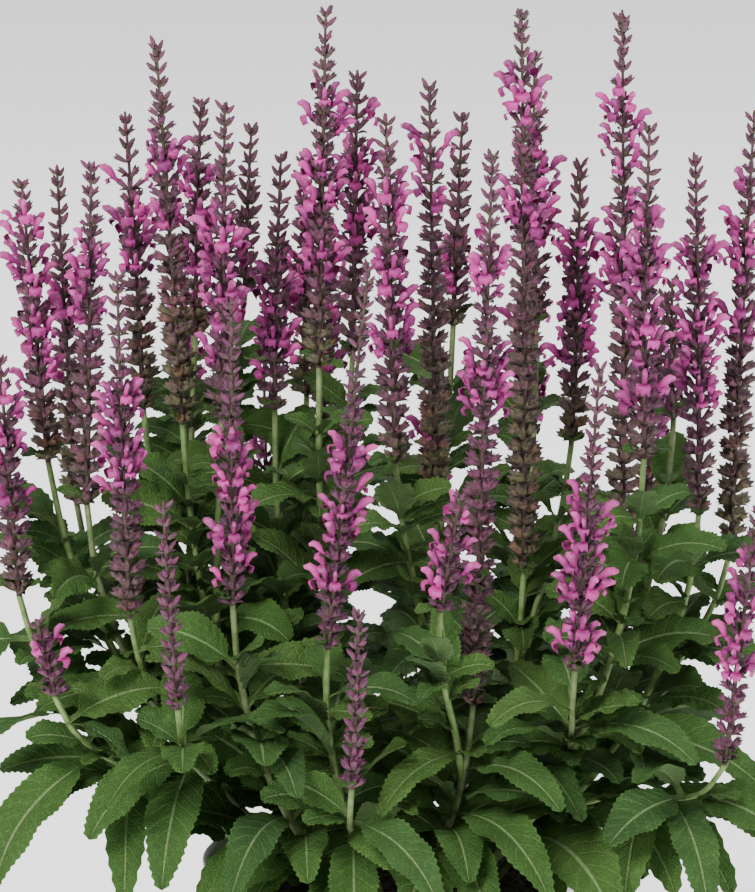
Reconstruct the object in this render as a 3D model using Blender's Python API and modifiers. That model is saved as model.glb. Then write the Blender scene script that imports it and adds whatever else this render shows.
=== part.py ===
"""A perennial salvia in a plain nursery pot, modelled from the pot's floor up.

Frame: metres, +Z up, origin at the centre of the pot's foot on the surface it stands on. The front of the
plant faces -Y. Every flower spike is one body, every leafy stem with its side shoots and leaves is one body.
"""
import math
import random
from typing import NamedTuple

import bmesh
import bpy
from mathutils import Matrix, Vector, kdtree

MM = 0.001
UP = Vector((0, 0, 1))

# Pot and soil, in millimetres
POT_HEIGHT = 150.0
POT_RIM_RADIUS = 84.0
POT_FOOT_RADIUS = 62.0
POT_WALL = 2.0
POT_BAND = 20.0
POT_STEPS = 20
DRAIN_HOLES = 5
DRAIN_RADIUS = 6.0
SOIL_TOP = 142.0
SOIL_DOME = 4.0
FIT_GAP = 0.4
STEM_SINK = 10.0

# The plant's general sizes, in millimetres
VIEW_TILT = math.radians(11)
CROWN_REACH = 46.0
STEM_RADIUS_LOW = 2.3
STEM_RADIUS_HIGH = 1.3
MAIN_STEPS = 6
SIDE_STEPS = 4
SPIKE_GAP = 0.9
SPIKE_ROOM = 23.5
LEAF_CLEARANCE = 4.4
LEAF_THICKNESS = 1.0
LEAF_LOW = 80.0
LEAF_HIGH = 42.0
LEAF_SAMPLE = 3.6
LEAF_ROLL = 0.62
OWN_ROOM = 10.0
ROOT_SPACING = 7.0


class Spike(NamedTuple):
    """A flower spike. Points are (across, up) from the rim's centre as the front view shows them, in mm."""

    stem: int
    tip: tuple
    foot: tuple
    depth: float
    bloom: tuple
    kind: str


# bloom is the stretch in open flower, from 0 at the spike's foot to 1 at its tip.
SPIKES = (
    Spike(1, (-167, 212), (-160, 112), -12, (0.35, 0.92), "mid"),
    Spike(1, (-150, 104), (-143, 72), -62, (0.2, 0.7), "young"),
    Spike(2, (-159, 286), (-149, 168), 22, (0.25, 0.88), "old"),
    Spike(2, (-146, 292), (-139, 150), 60, (0.45, 0.66), "old"),
    Spike(3, (-129, 292), (-132, 150), 6, (0.5, 0.82), "mid"),
    Spike(3, (-116, 246), (-112, 104), -48, (0.34, 0.62), "mid"),
    Spike(3, (-96, 152), (-91, 68), -96, (0.0, 0.0), "young"),
    Spike(4, (-102, 343), (-92, 184), 20, (0.5, 0.74), "old"),
    Spike(5, (-117, 317), (-110, 190), 62, (0.45, 0.75), "old"),
    Spike(4, (-73, 318), (-75, 186), 4, (0.14, 0.66), "mid"),
    Spike(5, (-85, 322), (-88, 222), 78, (0.25, 0.75), "old"),
    Spike(6, (-69, 236), (-69, 110), -70, (0.02, 0.55), "young"),
    Spike(5, (-64, 312), (-67, 240), 104, (0.0, 0.0), "old"),
    Spike(7, (-50, 298), (-53, 190), 30, (0.1, 0.5), "mid"),
    Spike(7, (-41, 300), (-40, 196), 76, (0.3, 0.6), "old"),
    Spike(8, (-31, 356), (-34, 208), 12, (0.22, 0.8), "old"),
    Spike(8, (-18, 334), (-20, 214), 52, (0.3, 0.86), "mid"),
    Spike(9, (-13, 250), (-30, 92), -76, (0.14, 0.52), "young"),
    Spike(9, (-17, 110), (-20, 36), -112, (0.0, 0.0), "young"),
    Spike(10, (12, 325), (15, 142), 8, (0.66, 0.88), "old"),
    Spike(10, (-6, 312), (-2, 168), -24, (0.3, 0.78), "mid"),
    Spike(10, (27, 317), (23, 226), 66, (0.1, 0.3), "old"),
    Spike(11, (37, 294), (30, 68), -64, (0.5, 0.86), "mid"),
    Spike(11, (24, 156), (16, 108), -92, (0.05, 0.8), "young"),
    Spike(12, (50, 356), (52, 122), -6, (0.58, 0.9), "old"),
    Spike(12, (57, 342), (58, 226), 44, (0.25, 0.7), "mid"),
    Spike(12, (76, 293), (73, 176), 34, (0.25, 0.7), "old"),
    Spike(13, (92, 356), (94, 86), 4, (0.55, 0.88), "old"),
    Spike(14, (102, 307), (101, 170), -34, (0.12, 0.7), "mid"),
    Spike(14, (80, 207), (71, 84), -94, (0.02, 0.56), "young"),
    Spike(13, (116, 246), (117, 186), 46, (0.0, 0.0), "old"),
    Spike(15, (123, 294), (126, 146), 4, (0.26, 0.74), "mid"),
    Spike(15, (149, 316), (141, 130), 28, (0.45, 0.86), "old"),
    Spike(15, (146, 150), (134, 44), -76, (0.3, 0.8), "young"),
    Spike(16, (-96, 262), (-92, 160), 128, (0.3, 0.7), "mid"),
    Spike(16, (-30, 268), (-34, 160), 128, (0.4, 0.8), "old"),
    Spike(16, (-60, 214), (-58, 120), 156, (0.1, 0.6), "young"),
    Spike(17, (58, 262), (54, 150), 124, (0.2, 0.7), "mid"),
    Spike(17, (116, 240), (108, 140), 106, (0.3, 0.75), "old"),
    Spike(17, (14, 226), (14, 120), 142, (0.1, 0.6), "young"),
)
STEM_COUNT = 17


class FrontLeaf(NamedTuple):
    """A large leaf low in the front: its stem, its tip as the front view shows it, its depth and width."""

    stem: int
    tip: tuple
    depth: float
    width: float


FRONT_LEAVES = (
    FrontLeaf(1, (-168, -9), -60, 21),
    FrontLeaf(1, (-155, 30), -50, 12),
    FrontLeaf(1, (-166, 57), -20, 18),
    FrontLeaf(2, (-163, 80), 14, 17),
    FrontLeaf(3, (-152, 48), -44, 20),
    FrontLeaf(3, (-98, -8), -92, 22),
    FrontLeaf(3, (-105, 40), -112, 15),
    FrontLeaf(3, (-78, 70), -112, 15),
    FrontLeaf(6, (-69, -9), -122, 19),
    FrontLeaf(6, (-42, 32), -118, 17),
    FrontLeaf(6, (-76, -16), -100, 24),
    FrontLeaf(6, (-90, 97), -82, 14),
    FrontLeaf(6, (-50, 88), -84, 14),
    FrontLeaf(9, (-44, 30), -128, 17),
    FrontLeaf(9, (15, -11), -130, 17),
    FrontLeaf(9, (-19, -20), -122, 20),
    FrontLeaf(9, (-57, 61), -112, 15),
    FrontLeaf(9, (-12, 66), -108, 15),
    FrontLeaf(11, (65, 26), -112, 18),
    FrontLeaf(11, (-10, 38), -98, 15),
    FrontLeaf(11, (60, -9), -120, 21),
    FrontLeaf(11, (10, 126), -64, 14),
    FrontLeaf(11, (36, -22), -112, 22),
    FrontLeaf(12, (50, 10), -128, 18),
    FrontLeaf(12, (84, 40), -108, 17),
    FrontLeaf(14, (88, -22), -112, 30),
    FrontLeaf(14, (149, 15), -88, 24),
    FrontLeaf(14, (38, 76), -112, 14),
    FrontLeaf(14, (92, 84), -88, 15),
    FrontLeaf(15, (126, -16), -96, 18),
    FrontLeaf(15, (147, 38), -96, 15),
    FrontLeaf(13, (150, 70), -30, 18),
    FrontLeaf(9, (-30, 8), -104, 18),
    FrontLeaf(11, (28, 12), -102, 19),
    FrontLeaf(12, (20, 52), -66, 16),
    FrontLeaf(10, (-6, 60), -60, 16),
    FrontLeaf(7, (-60, 44), -60, 16),
    FrontLeaf(8, (-35, 46), -48, 16),
    FrontLeaf(15, (100, -5), -74, 20),
    FrontLeaf(4, (-100, 62), -30, 17),
    FrontLeaf(6, (-20, -4), -94, 19),
    FrontLeaf(3, (-128, 12), -78, 19),
    FrontLeaf(2, (-130, 76), -8, 17),
    FrontLeaf(14, (70, 50), -100, 16),
    FrontLeaf(14, (118, 30), -100, 18),
    FrontLeaf(1, (-130, 46), -84, 17),
    FrontLeaf(13, (110, 70), -50, 17),
    FrontLeaf(15, (160, 4), -50, 20),
    FrontLeaf(12, (40, 56), -24, 18),
    FrontLeaf(10, (12, 22), -8, 19),
    FrontLeaf(13, (62, 32), -14, 19),
    FrontLeaf(8, (-50, 30), -20, 18),
)


class Stalk(NamedTuple):
    """A stem or side shoot: the points of its middle line and the number of its leafy stem."""

    stem: int
    line: list
    main: bool


class Leaf(NamedTuple):
    """A leaf: its root, its midrib's heading, rise and fall and its roll in radians, its size in mm."""

    stem: int
    root: Vector
    heading: float
    rise: float
    fall: float
    length: float
    width: float
    roll: float


def from_view(across, up, depth):
    """The point that the front view shows there, at that depth behind the pot's axis."""
    height = POT_HEIGHT + (up - depth * math.sin(VIEW_TILT)) / math.cos(VIEW_TILT)
    return Vector((across, depth, height))


def hermite(start, start_pull, end, end_pull, count):
    """Points of a smooth curve between two points that leaves and arrives along the given pulls."""
    points = []
    for i in range(count + 1):
        t = i / count
        a = 2 * t**3 - 3 * t**2 + 1
        b = t**3 - 2 * t**2 + t
        c = 3 * t**2 - 2 * t**3
        d = t**3 - t**2
        points.append(a * start + b * start_pull + c * end + d * end_pull)
    return points


def settle_depths():
    """Moves spikes apart along their depth alone, so that each keeps its place in the front view."""
    depths = [spike.depth for spike in SPIKES]
    for _ in range(60):
        for i, first in enumerate(SPIKES):
            for j in range(i + 1, len(SPIKES)):
                push = shortfall(first, SPIKES[j], depths[i], depths[j])
                if push > 0:
                    side = 1 if depths[j] >= depths[i] else -1
                    depths[i] -= side * push / 2
                    depths[j] += side * push / 2
    return depths


def shortfall(first, second, first_depth, second_depth):
    """How much further apart in depth two spikes must stand to clear each other."""
    low = max(first.foot[1], second.foot[1])
    high = min(first.tip[1], second.tip[1])
    if low >= high:
        return 0
    gaps = []
    for height in (low, (low + high) / 2, high):
        sides = []
        for spike in (first, second):
            share = (height - spike.foot[1]) / (spike.tip[1] - spike.foot[1])
            sides.append(spike.foot[0] + share * (spike.tip[0] - spike.foot[0]))
        gaps.append(abs(sides[0] - sides[1]))
    across = min(gaps)
    if across >= SPIKE_ROOM:
        return 0
    need = math.sqrt(SPIKE_ROOM**2 - across**2)
    return need - abs(first_depth - second_depth)


def spike_lines():
    """The middle line of every spike, from its foot to its tip, in mm."""
    chance = random.Random(11)
    lines = []
    for spike, depth in zip(SPIKES, settle_depths()):
        foot = from_view(*spike.foot, depth * 0.94)
        tip = from_view(*spike.tip, depth)
        sway = Vector((chance.uniform(-1, 1), chance.uniform(-1, 1), 0)) * 2.5
        along = tip - foot
        points = hermite(foot, along + sway, tip, along - sway, 24)
        lines.append(points)
    return lines


def crown_point(lines, members):
    """Where a leafy stem leaves the soil: nearer the middle than its spikes, and on the same side."""
    middle = sum((lines[i][0] for i in members), Vector()) / len(members)
    flat = Vector((middle.x, middle.y, 0))
    reach = CROWN_REACH * (flat.length / 165) ** 0.7
    return flat.normalized() * reach + UP * SOIL_TOP


def stalks_of(lines):
    """All stems and side shoots. A stem's first spike ends its main stalk, and the others branch off it."""
    stalks = []
    for number in range(1, STEM_COUNT + 1):
        members = [i for i, spike in enumerate(SPIKES) if spike.stem == number]
        crown = crown_point(lines, members)
        end = lines[members[0]][0]
        aim = (lines[members[0]][6] - end).normalized()
        span = (end - crown).length
        outward = Vector((end.x - crown.x, end.y - crown.y, 0))
        lean = outward.normalized() * min(1.0, outward.length / 60)
        start_pull = (lean * 0.95 + UP * 0.75) * span * 0.75
        main = straightened(hermite(crown, start_pull, end, aim * span * 1.05, 24), MAIN_STEPS)
        stalks.append(Stalk(number, main, True))
        for i in members[1:]:
            stalks.append(Stalk(number, straightened(side_shoot(main, lines[i]), SIDE_STEPS), False))
    return stalks


def straightened(line, steps):
    """The line's points moved onto straight runs between a few of them, which are the stem's own facets."""
    count = len(line) - 1
    picks = [round(i * count / steps) for i in range(steps + 1)]
    points = []
    for a, b in zip(picks, picks[1:]):
        points.extend(line[a].lerp(line[b], (i - a) / (b - a)) for i in range(a, b))
    return [*points, line[-1]]


def side_shoot(main, line):
    """The middle line of a side shoot from a main stalk to the foot of its own spike."""
    end = line[0]
    wanted = SOIL_TOP + 0.42 * (end.z - SOIL_TOP)
    at = min(range(4, 17), key=lambda k: abs(main[k].z - wanted))
    start = main[at]
    span = (end - start).length
    along = (main[at + 1] - main[at - 1]).normalized()
    pull = (along + (end - start).normalized()).normalized() * span * 0.8
    return hermite(start, pull, end, (line[6] - end).normalized() * span * 0.9, 16)


def midrib(leaf, count):
    """Points, headings along and across, and share from root to tip, at even steps along a leaf's midrib."""
    flat = Vector((math.cos(leaf.heading), math.sin(leaf.heading), 0))
    level = Vector((-math.sin(leaf.heading), math.cos(leaf.heading), 0))
    point = leaf.root.copy()
    step = leaf.length / count
    stations = []
    for i in range(count + 1):
        share = i / count
        slope = leaf.rise - leaf.fall * share**1.2
        along = flat * math.cos(slope) + UP * math.sin(slope)
        across = level * math.cos(leaf.roll) + along.cross(level) * math.sin(leaf.roll)
        stations.append((point.copy(), along, across, share))
        point += along * step
    return stations


def upper_side(along, across):
    """The direction that a leaf's upper face looks in."""
    over = along.cross(across)
    return over if over.z > 0 else -over


def half_width(leaf, share):
    """Half of a leaf's width there: a narrow stalk, then a blade broadest below its middle."""
    petiole = 1.5
    start = 0.16
    if share <= start:
        return petiole
    t = (share - start) / (1 - start)
    swell = max(0.0, math.sin(math.pi * min(1, t) ** 0.78)) ** 0.8
    return petiole + (leaf.width / 2 - petiole) * swell * (1 - 0.06 * t)


def leaf_samples(leaf):
    """Points spread over a leaf, close enough together that no other leaf slips between them."""
    points = []
    count = max(6, round(leaf.length / LEAF_SAMPLE))
    for point, along, across, share in midrib(leaf, count):
        half = half_width(leaf, share) if share < 0.98 else 0.5
        over = upper_side(along, across)
        rows = max(1, round(half / LEAF_SAMPLE))
        for k in range(-rows, rows + 1):
            side = half * k / rows
            points.append(point + across * side + over * abs(side) * 0.22)
    return points


def clear_of_pot(points):
    """Whether points stay over the pot's rim inside it, and outside its wall below."""
    for p in points:
        radius = math.hypot(p.x, p.y)
        if p.z < 12:
            return False
        if p.z < POT_HEIGHT + 2.5 and radius < POT_RIM_RADIUS + 3.5:
            if radius > POT_RIM_RADIUS - 8 or p.z < SOIL_TOP + 5:
                return False
    return True


class Crowd:
    """The room already taken, as one tree of points for each owner."""

    def __init__(self):
        self.points = {}
        self.trees = {}

    def add(self, owner, points):
        held = self.points.setdefault(owner, [])
        held.extend(points)
        tree = kdtree.KDTree(len(held))
        for i, p in enumerate(held):
            tree.insert(p, i)
        tree.balance()
        self.trees[owner] = tree

    def lets_in(self, leaf, points):
        if not clear_of_pot(points):
            return False
        for owner, tree in self.trees.items():
            room = LEAF_CLEARANCE + (10.0 if owner < 0 else 0.0)
            own = owner == leaf.stem
            for p in points:
                away = (p - leaf.root).length
                if away < (OWN_ROOM if own else 1):
                    continue
                found, _, distance = tree.find(p)
                if distance < (3.2 if own else room) and not (own and (found - leaf.root).length < OWN_ROOM):
                    return False
        return True


def trials(leaf):
    """The leaf as first meant, then turned, lifted, lowered and shortened by steps."""
    for scale in (1.0, 0.84, 0.7):
        for turn in (0, 18, -18, 36, -36, 56, -56):
            for lift in (0, 14, -16, 28):
                yield leaf._replace(
                    heading=leaf.heading + math.radians(turn),
                    rise=leaf.rise + math.radians(lift),
                    length=leaf.length * scale,
                    width=leaf.width * (0.5 + 0.5 * scale),
                )


def wished_leaves(stalks):
    """Every leaf as it would grow with nothing in its way, in opposite pairs, smaller with height."""
    chance = random.Random(5)
    wishes = []
    for stalk in stalks:
        length = sum((b - a).length for a, b in zip(stalk.line, stalk.line[1:]))
        along = 5.0 if stalk.main else 26.0
        turn = chance.uniform(0, math.pi)
        while along < length - 16:
            at = along / length * (len(stalk.line) - 1)
            i = min(int(at), len(stalk.line) - 2)
            root = stalk.line[i].lerp(stalk.line[i + 1], at - i)
            outward = math.atan2(root.y, root.x)
            height = min(1.0, max(0.0, (root.z - SOIL_TOP) / 150))
            size = LEAF_LOW + (LEAF_HIGH - LEAF_LOW) * height**0.6
            if not stalk.main:
                size *= 0.8
            for side in (0, math.pi):
                heading = turn + side
                if along < 30 and stalk.main:
                    heading = outward + (-0.6 if side else 0.6) + chance.uniform(-0.3, 0.3)
                own = size * chance.uniform(0.84, 1.1)
                wishes.append(
                    Leaf(
                        stalk.stem,
                        root + Vector((math.cos(heading), math.sin(heading), 0)) * 0.3,
                        heading,
                        math.radians(chance.uniform(22, 44) if along > 30 else chance.uniform(30, 58)),
                        math.radians(chance.uniform(30, 62) if along > 30 else chance.uniform(60, 92)),
                        own,
                        own * chance.uniform(0.4, 0.5),
                        LEAF_ROLL * math.cos(heading) + chance.uniform(-0.2, 0.2),
                    )
                )
            turn += math.pi / 2 + chance.uniform(-0.25, 0.25)
            along += (25 if root.y < 40 else 38) + 22 * height + (0 if stalk.main else 12)
    return sorted(wishes, key=lambda leaf: -leaf.length)


def front_leaves(stalks):
    """The large leaves low in the front, each rooted where its own stem is a leaf's length from its tip."""
    leaves = []
    taken = []
    for front in FRONT_LEAVES:
        tip = from_view(*front.tip, front.depth)
        wanted = 22 + 2.3 * front.width
        roots = [p for stalk in stalks if stalk.stem == front.stem for p in stalk.line[1:-4]]
        roots = [p for p in roots if all((p - q).length > ROOT_SPACING for q in taken)]
        root = min(roots, key=lambda p: abs((tip - p).length - wanted) + 0.3 * abs(p.z - tip.z))
        away = tip - root
        slope = math.atan2(away.z, math.hypot(away.x, away.y))
        heading = math.atan2(away.y, away.x)
        length = min(away.length * 1.05, wanted * 1.5)
        roll = LEAF_ROLL * math.cos(heading)
        taken.append(root)
        root = root + Vector((math.cos(heading), math.sin(heading), 0.9)) * 0.4
        leaves.append(Leaf(front.stem, root, heading, slope + 0.5, 1.1, length, front.width, roll))
    return leaves


def place_leaves(lines, stalks):
    """The leaves that find room, each turned or shortened until it clears everything already there."""
    crowd = Crowd()
    for i, line in enumerate(lines):
        crowd.add(-1, [a.lerp(b, t) for a, b in zip(line, line[1:]) for t in (0, 0.5)])
    for stalk in stalks:
        pairs = zip(stalk.line, stalk.line[1:])
        crowd.add(stalk.stem, [a.lerp(b, t) for a, b in pairs for t in (0, 0.34, 0.67)])
    placed = []
    for wish in front_leaves(stalks) + wished_leaves(stalks):
        for leaf in trials(wish):
            points = leaf_samples(leaf)
            if crowd.lets_in(leaf, points):
                crowd.add(leaf.stem, points)
                placed.append(leaf)
                break
    return placed


def new_material(name, colour, roughness):
    material = bpy.data.materials.new(name)
    material.use_nodes = True
    shader = material.node_tree.nodes["Principled BSDF"]
    shader.inputs["Base Color"].default_value = (*colour, 1)
    shader.inputs["Roughness"].default_value = roughness
    shader.inputs["Metallic"].default_value = 0
    return material


def new_object(name, mesh, collection):
    made = bpy.data.objects.new(name, mesh)
    collection.objects.link(made)
    return made


def mesh_of(bm, name):
    bmesh.ops.recalc_face_normals(bm, faces=bm.faces)
    mesh = bpy.data.meshes.new(name)
    bm.to_mesh(mesh)
    bm.free()
    return mesh


def loft(bm, sections, tip):
    """Extrudes a section through others and draws the last in to a tip. Returns each band's faces."""
    first = bmesh.ops.create_circle(bm, cap_ends=True, segments=len(sections[0]), radius=1)["verts"]
    face = first[0].link_faces[0]
    for vert, place in zip(face.verts, sections[0]):
        vert.co = place * MM
    bands = []
    for number, section in enumerate(sections[1:]):
        grown = bmesh.ops.extrude_face_region(bm, geom=[face])["geom"]
        if number > 0:
            bmesh.ops.delete(bm, geom=[face], context="FACES_ONLY")
        face = next(g for g in grown if isinstance(g, bmesh.types.BMFace))
        for vert, place in zip(face.verts, section):
            vert.co = place * MM
        bands.append([f for edge in face.edges for f in edge.link_faces if f != face])
    if tip is None:
        return bands
    bmesh.ops.pointmerge(bm, verts=face.verts, merge_co=tip * MM)
    return bands


def ring(centre, along, radius, sides, turn):
    """Points round a line at one place on it."""
    across = along.orthogonal().normalized()
    other = along.cross(across).normalized()
    points = []
    for i in range(sides):
        angle = turn + math.tau * i / sides
        points.append(centre + (across * math.cos(angle) + other * math.sin(angle)) * radius)
    return points


def along_line(line, share):
    """The point and direction at a share of a line's points."""
    at = share * (len(line) - 1)
    i = min(int(at), len(line) - 2)
    return line[i].lerp(line[i + 1], at - i), (line[i + 1] - line[i]).normalized()


# Spike proportions, in millimetres, with florets larger than life so that they cover the spike
SPIKE_SIDES = 4
WHORL_STEP = 17.5
CORE_FOOT = 2.9
CORE_TIP = 1.5
REACH = {"bud": 6.4, "spent": 8.0, "hood": 11.0, "lip": 9.2}


def spike_mesh(spike, line, chance):
    """A spike: a core drawn up its line, with every face of each whorl raised to a floret's point."""
    length = sum((b - a).length for a, b in zip(line, line[1:]))
    whorls = max(3, round(length / WHORL_STEP))
    marks = []
    for k in range(whorls):
        share = k / whorls
        middle = (k + 0.5) / whorls
        marks.append((share, "open" if spike.bloom[0] <= middle <= spike.bloom[1] else "shut"))
        if marks[-1][1] == "open":
            marks.append(((k + 0.5) / whorls, "upper"))
    shares = [share for share, _ in marks] + [0.985]
    sections = []
    for number, share in enumerate(shares):
        centre, along = along_line(line, share)
        radius = CORE_FOOT + (CORE_TIP - CORE_FOOT) * share if number else CORE_TIP
        sections.append(ring(centre, along, radius, SPIKE_SIDES, number * math.radians(38)))
    bm = bmesh.new()
    bands = loft(bm, sections, line[-1])
    for (share, state), after, band in zip(marks, shares[1:], bands):
        centre, along = along_line(line, (share + after) / 2)
        for face in band:
            outward = face.calc_center_median() / MM - centre
            outward = (outward - along * outward.dot(along)).normalized()
            if state == "shut":
                reach = REACH["bud"] if share > spike.bloom[1] else REACH["spent"]
                reach *= 1 - 0.42 * share**2
                rise = 0.55 * reach
            else:
                reach = REACH["hood"] if state == "upper" else REACH["lip"]
                rise = 3.0 if state == "upper" else -0.5
            reach *= chance.uniform(0.86, 1.08)
            point = bmesh.ops.poke(bm, faces=[face])["verts"][0]
            point.co = (centre + outward * reach + along * rise) * MM
    return mesh_of(bm, "flower_spike")


LARGE_LEAF = 58.0
LARGE_STATIONS = (0.0, 0.26, 0.54, 0.8)
SMALL_STATIONS = (0.0, 0.34, 0.7)
LEAF_SCALLOP = 0.07


def leaf_mesh(leaf):
    """A leaf blade: a flat four-cornered section, keeled under its midrib and waved along its edges."""
    fine = midrib(leaf, 60)
    sections = []
    stations = LARGE_STATIONS if leaf.length > LARGE_LEAF else SMALL_STATIONS
    for number, share in enumerate(stations):
        point, along, across, _ = fine[round(share * 60)]
        over = upper_side(along, across)
        half = half_width(leaf, share) if number else 0.8
        if number > 1:
            half *= 1 + (LEAF_SCALLOP if number % 2 else -LEAF_SCALLOP)
        lift = over * (half * 0.22)
        thick = over * (LEAF_THICKNESS * 0.8)
        side = across * half
        sections.append([point - thick, point + side + lift, point + thick, point - side + lift])
    bm = bmesh.new()
    loft(bm, sections, fine[60][0])
    return mesh_of(bm, "leaf")


def stalk_mesh(line, low, high, steps, sink):
    """A four-sided stem along a line, from its curve's bevel, thinner towards its top."""
    curve = bpy.data.curves.new("stalk", "CURVE")
    curve.dimensions = "3D"
    curve.bevel_depth = MM
    curve.bevel_resolution = 0
    curve.use_fill_caps = True
    picks = [line[round(i * (len(line) - 1) / steps)] for i in range(steps + 1)]
    if sink:
        picks = [picks[0] - UP * STEM_SINK, picks[0] + UP * 0.5, *picks[1:]]
    spline = curve.splines.new("POLY")
    spline.points.add(len(picks) - 1)
    for i, (slot, place) in enumerate(zip(spline.points, picks)):
        slot.co = (*(place * MM), 1)
        slot.radius = low + (high - low) * i / (len(picks) - 1)
    guide = bpy.data.objects.new("stalk", curve)
    bpy.context.scene.collection.objects.link(guide)
    bpy.context.view_layer.update()
    graph = bpy.context.evaluated_depsgraph_get()
    mesh = bpy.data.meshes.new_from_object(guide.evaluated_get(graph))
    bpy.data.objects.remove(guide)
    bm = bmesh.new()
    bm.from_mesh(mesh)
    bmesh.ops.remove_doubles(bm, verts=bm.verts, dist=0.00001)
    return mesh_of(bm, "stalk")


def fuse(target, helpers):
    """Joins a collection's bodies to the target in one Boolean union, applies it and removes the helpers."""
    joint = target.modifiers.new("fused", "BOOLEAN")
    joint.operation = "UNION"
    joint.operand_type = "COLLECTION"
    joint.collection = helpers
    joint.solver = "MANIFOLD"
    apply_modifiers(target)
    keep_largest(target.data)
    for helper in list(helpers.objects):
        bpy.data.objects.remove(helper)
    bpy.data.collections.remove(helpers)


def keep_largest(mesh):
    """Fills hollows sealed by the union and drops loose scraps: only the largest linked surface stays."""
    bm = bmesh.new()
    bm.from_mesh(mesh)
    left = set(bm.verts)
    islands = []
    while left:
        edge = [left.pop()]
        island = list(edge)
        while edge:
            near = {e.other_vert(v) for v in edge for e in v.link_edges} & left
            left -= near
            island.extend(near)
            edge = list(near)
        islands.append(island)
    islands.sort(key=len)
    loose = [v for island in islands[:-1] for v in island]
    if loose:
        print("dropped from", mesh.name, len(loose), "points in", len(islands) - 1, "pieces")
    bmesh.ops.delete(bm, geom=loose, context="VERTS")
    bm.to_mesh(mesh)
    bm.free()


def apply_modifiers(target):
    bpy.context.view_layer.update()
    graph = bpy.context.evaluated_depsgraph_get()
    mesh = bpy.data.meshes.new_from_object(target.evaluated_get(graph))
    target.modifiers.clear()
    target.data = mesh


def new_helpers(name):
    helpers = bpy.data.collections.new(name)
    bpy.context.scene.collection.children.link(helpers)
    return helpers


def make_leafy_stem(number, stalks, leaves, parts, material):
    """One leafy stem: its main stalk with its side shoots and leaves fused to it."""
    helpers = new_helpers("shoots")
    target = None
    for stalk in (s for s in stalks if s.stem == number):
        line = list(stalk.line)
        line[-1] = line[-1] + (line[-2] - line[-1]).normalized() * SPIKE_GAP
        low = STEM_RADIUS_LOW if stalk.main else STEM_RADIUS_HIGH + 0.35
        mesh = stalk_mesh(line, low, STEM_RADIUS_HIGH, MAIN_STEPS if stalk.main else SIDE_STEPS, stalk.main)
        if stalk.main:
            target = new_object(f"leafy_stem_{number:02d}", mesh, parts)
        else:
            new_object("shoot", mesh, helpers)
    for leaf in (found for found in leaves if found.stem == number):
        new_object("leaf", leaf_mesh(leaf), helpers)
    fuse(target, helpers)
    target.data.materials.clear()
    target.data.materials.append(material)


def turned(name, profile, steps, collection):
    """A closed profile of (radius, height) points, in mm, turned round the Z axis."""
    bm = bmesh.new()
    verts = [bm.verts.new((radius * MM, 0, height * MM)) for radius, height in profile]
    for a, b in zip(verts, verts[1:]):
        bm.edges.new((a, b))
    mesh = bpy.data.meshes.new(name)
    bm.to_mesh(mesh)
    bm.free()
    made = new_object(name, mesh, collection)
    screw = made.modifiers.new("turned", "SCREW")
    screw.steps = steps
    screw.render_steps = steps
    screw.use_merge_vertices = True
    screw.merge_threshold = 0.00001
    apply_modifiers(made)
    bm = bmesh.new()
    bm.from_mesh(made.data)
    bmesh.ops.remove_doubles(bm, verts=bm.verts, dist=0.000001)
    bmesh.ops.recalc_face_normals(bm, faces=bm.faces)
    bm.to_mesh(made.data)
    bm.free()
    return made


def cut(target, cutters):
    """Cuts a collection's bodies out of the target."""
    for cutter in cutters.objects:
        cutter.hide_render = True
        cutter.display_type = "WIRE"
    hole = target.modifiers.new("holes", "BOOLEAN")
    hole.operation = "DIFFERENCE"
    hole.operand_type = "COLLECTION"
    hole.collection = cutters
    hole.solver = "EXACT"
    apply_modifiers(target)
    for cutter in list(cutters.objects):
        bpy.data.objects.remove(cutter)
    bpy.data.collections.remove(cutters)


def rod(name, x, y, low, high, radius, sides, collection):
    """An upright cylinder at (x, y) between two heights, in mm."""
    bm = bmesh.new()
    bmesh.ops.create_cone(
        bm, cap_ends=True, segments=sides, radius1=radius * MM, radius2=radius * MM, depth=(high - low) * MM
    )
    bmesh.ops.translate(bm, verts=bm.verts, vec=Vector((x, y, (low + high) / 2)) * MM)
    return new_object(name, mesh_of(bm, name), collection)


def wall_radius(height):
    """The radius of the pot's outer wall below its band."""
    return POT_FOOT_RADIUS + (POT_RIM_RADIUS - 3 - POT_FOOT_RADIUS) * height / (POT_HEIGHT - POT_BAND)


def make_pot(parts, material):
    band = POT_HEIGHT - POT_BAND
    foot_rise = 3.0
    profile = [
        (0, foot_rise + POT_WALL),
        (wall_radius(foot_rise) - POT_WALL, foot_rise + POT_WALL),
        (wall_radius(band) - POT_WALL, band),
        (POT_RIM_RADIUS - POT_WALL, POT_HEIGHT),
        (POT_RIM_RADIUS, POT_HEIGHT),
        (POT_RIM_RADIUS - 1, band),
        (wall_radius(band), band - 1),
        (wall_radius(0), 0),
        (0, 0),
    ]
    pot = turned("pot", profile, POT_STEPS, parts)
    cutters = new_helpers("drains")
    for i in range(DRAIN_HOLES):
        angle = math.tau * i / DRAIN_HOLES
        reach = POT_FOOT_RADIUS * 0.68
        rod("drain", reach * math.cos(angle), reach * math.sin(angle), -3, 12, DRAIN_RADIUS, 8, cutters)
    cut(pot, cutters)
    pot.data.materials.append(material)


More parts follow.
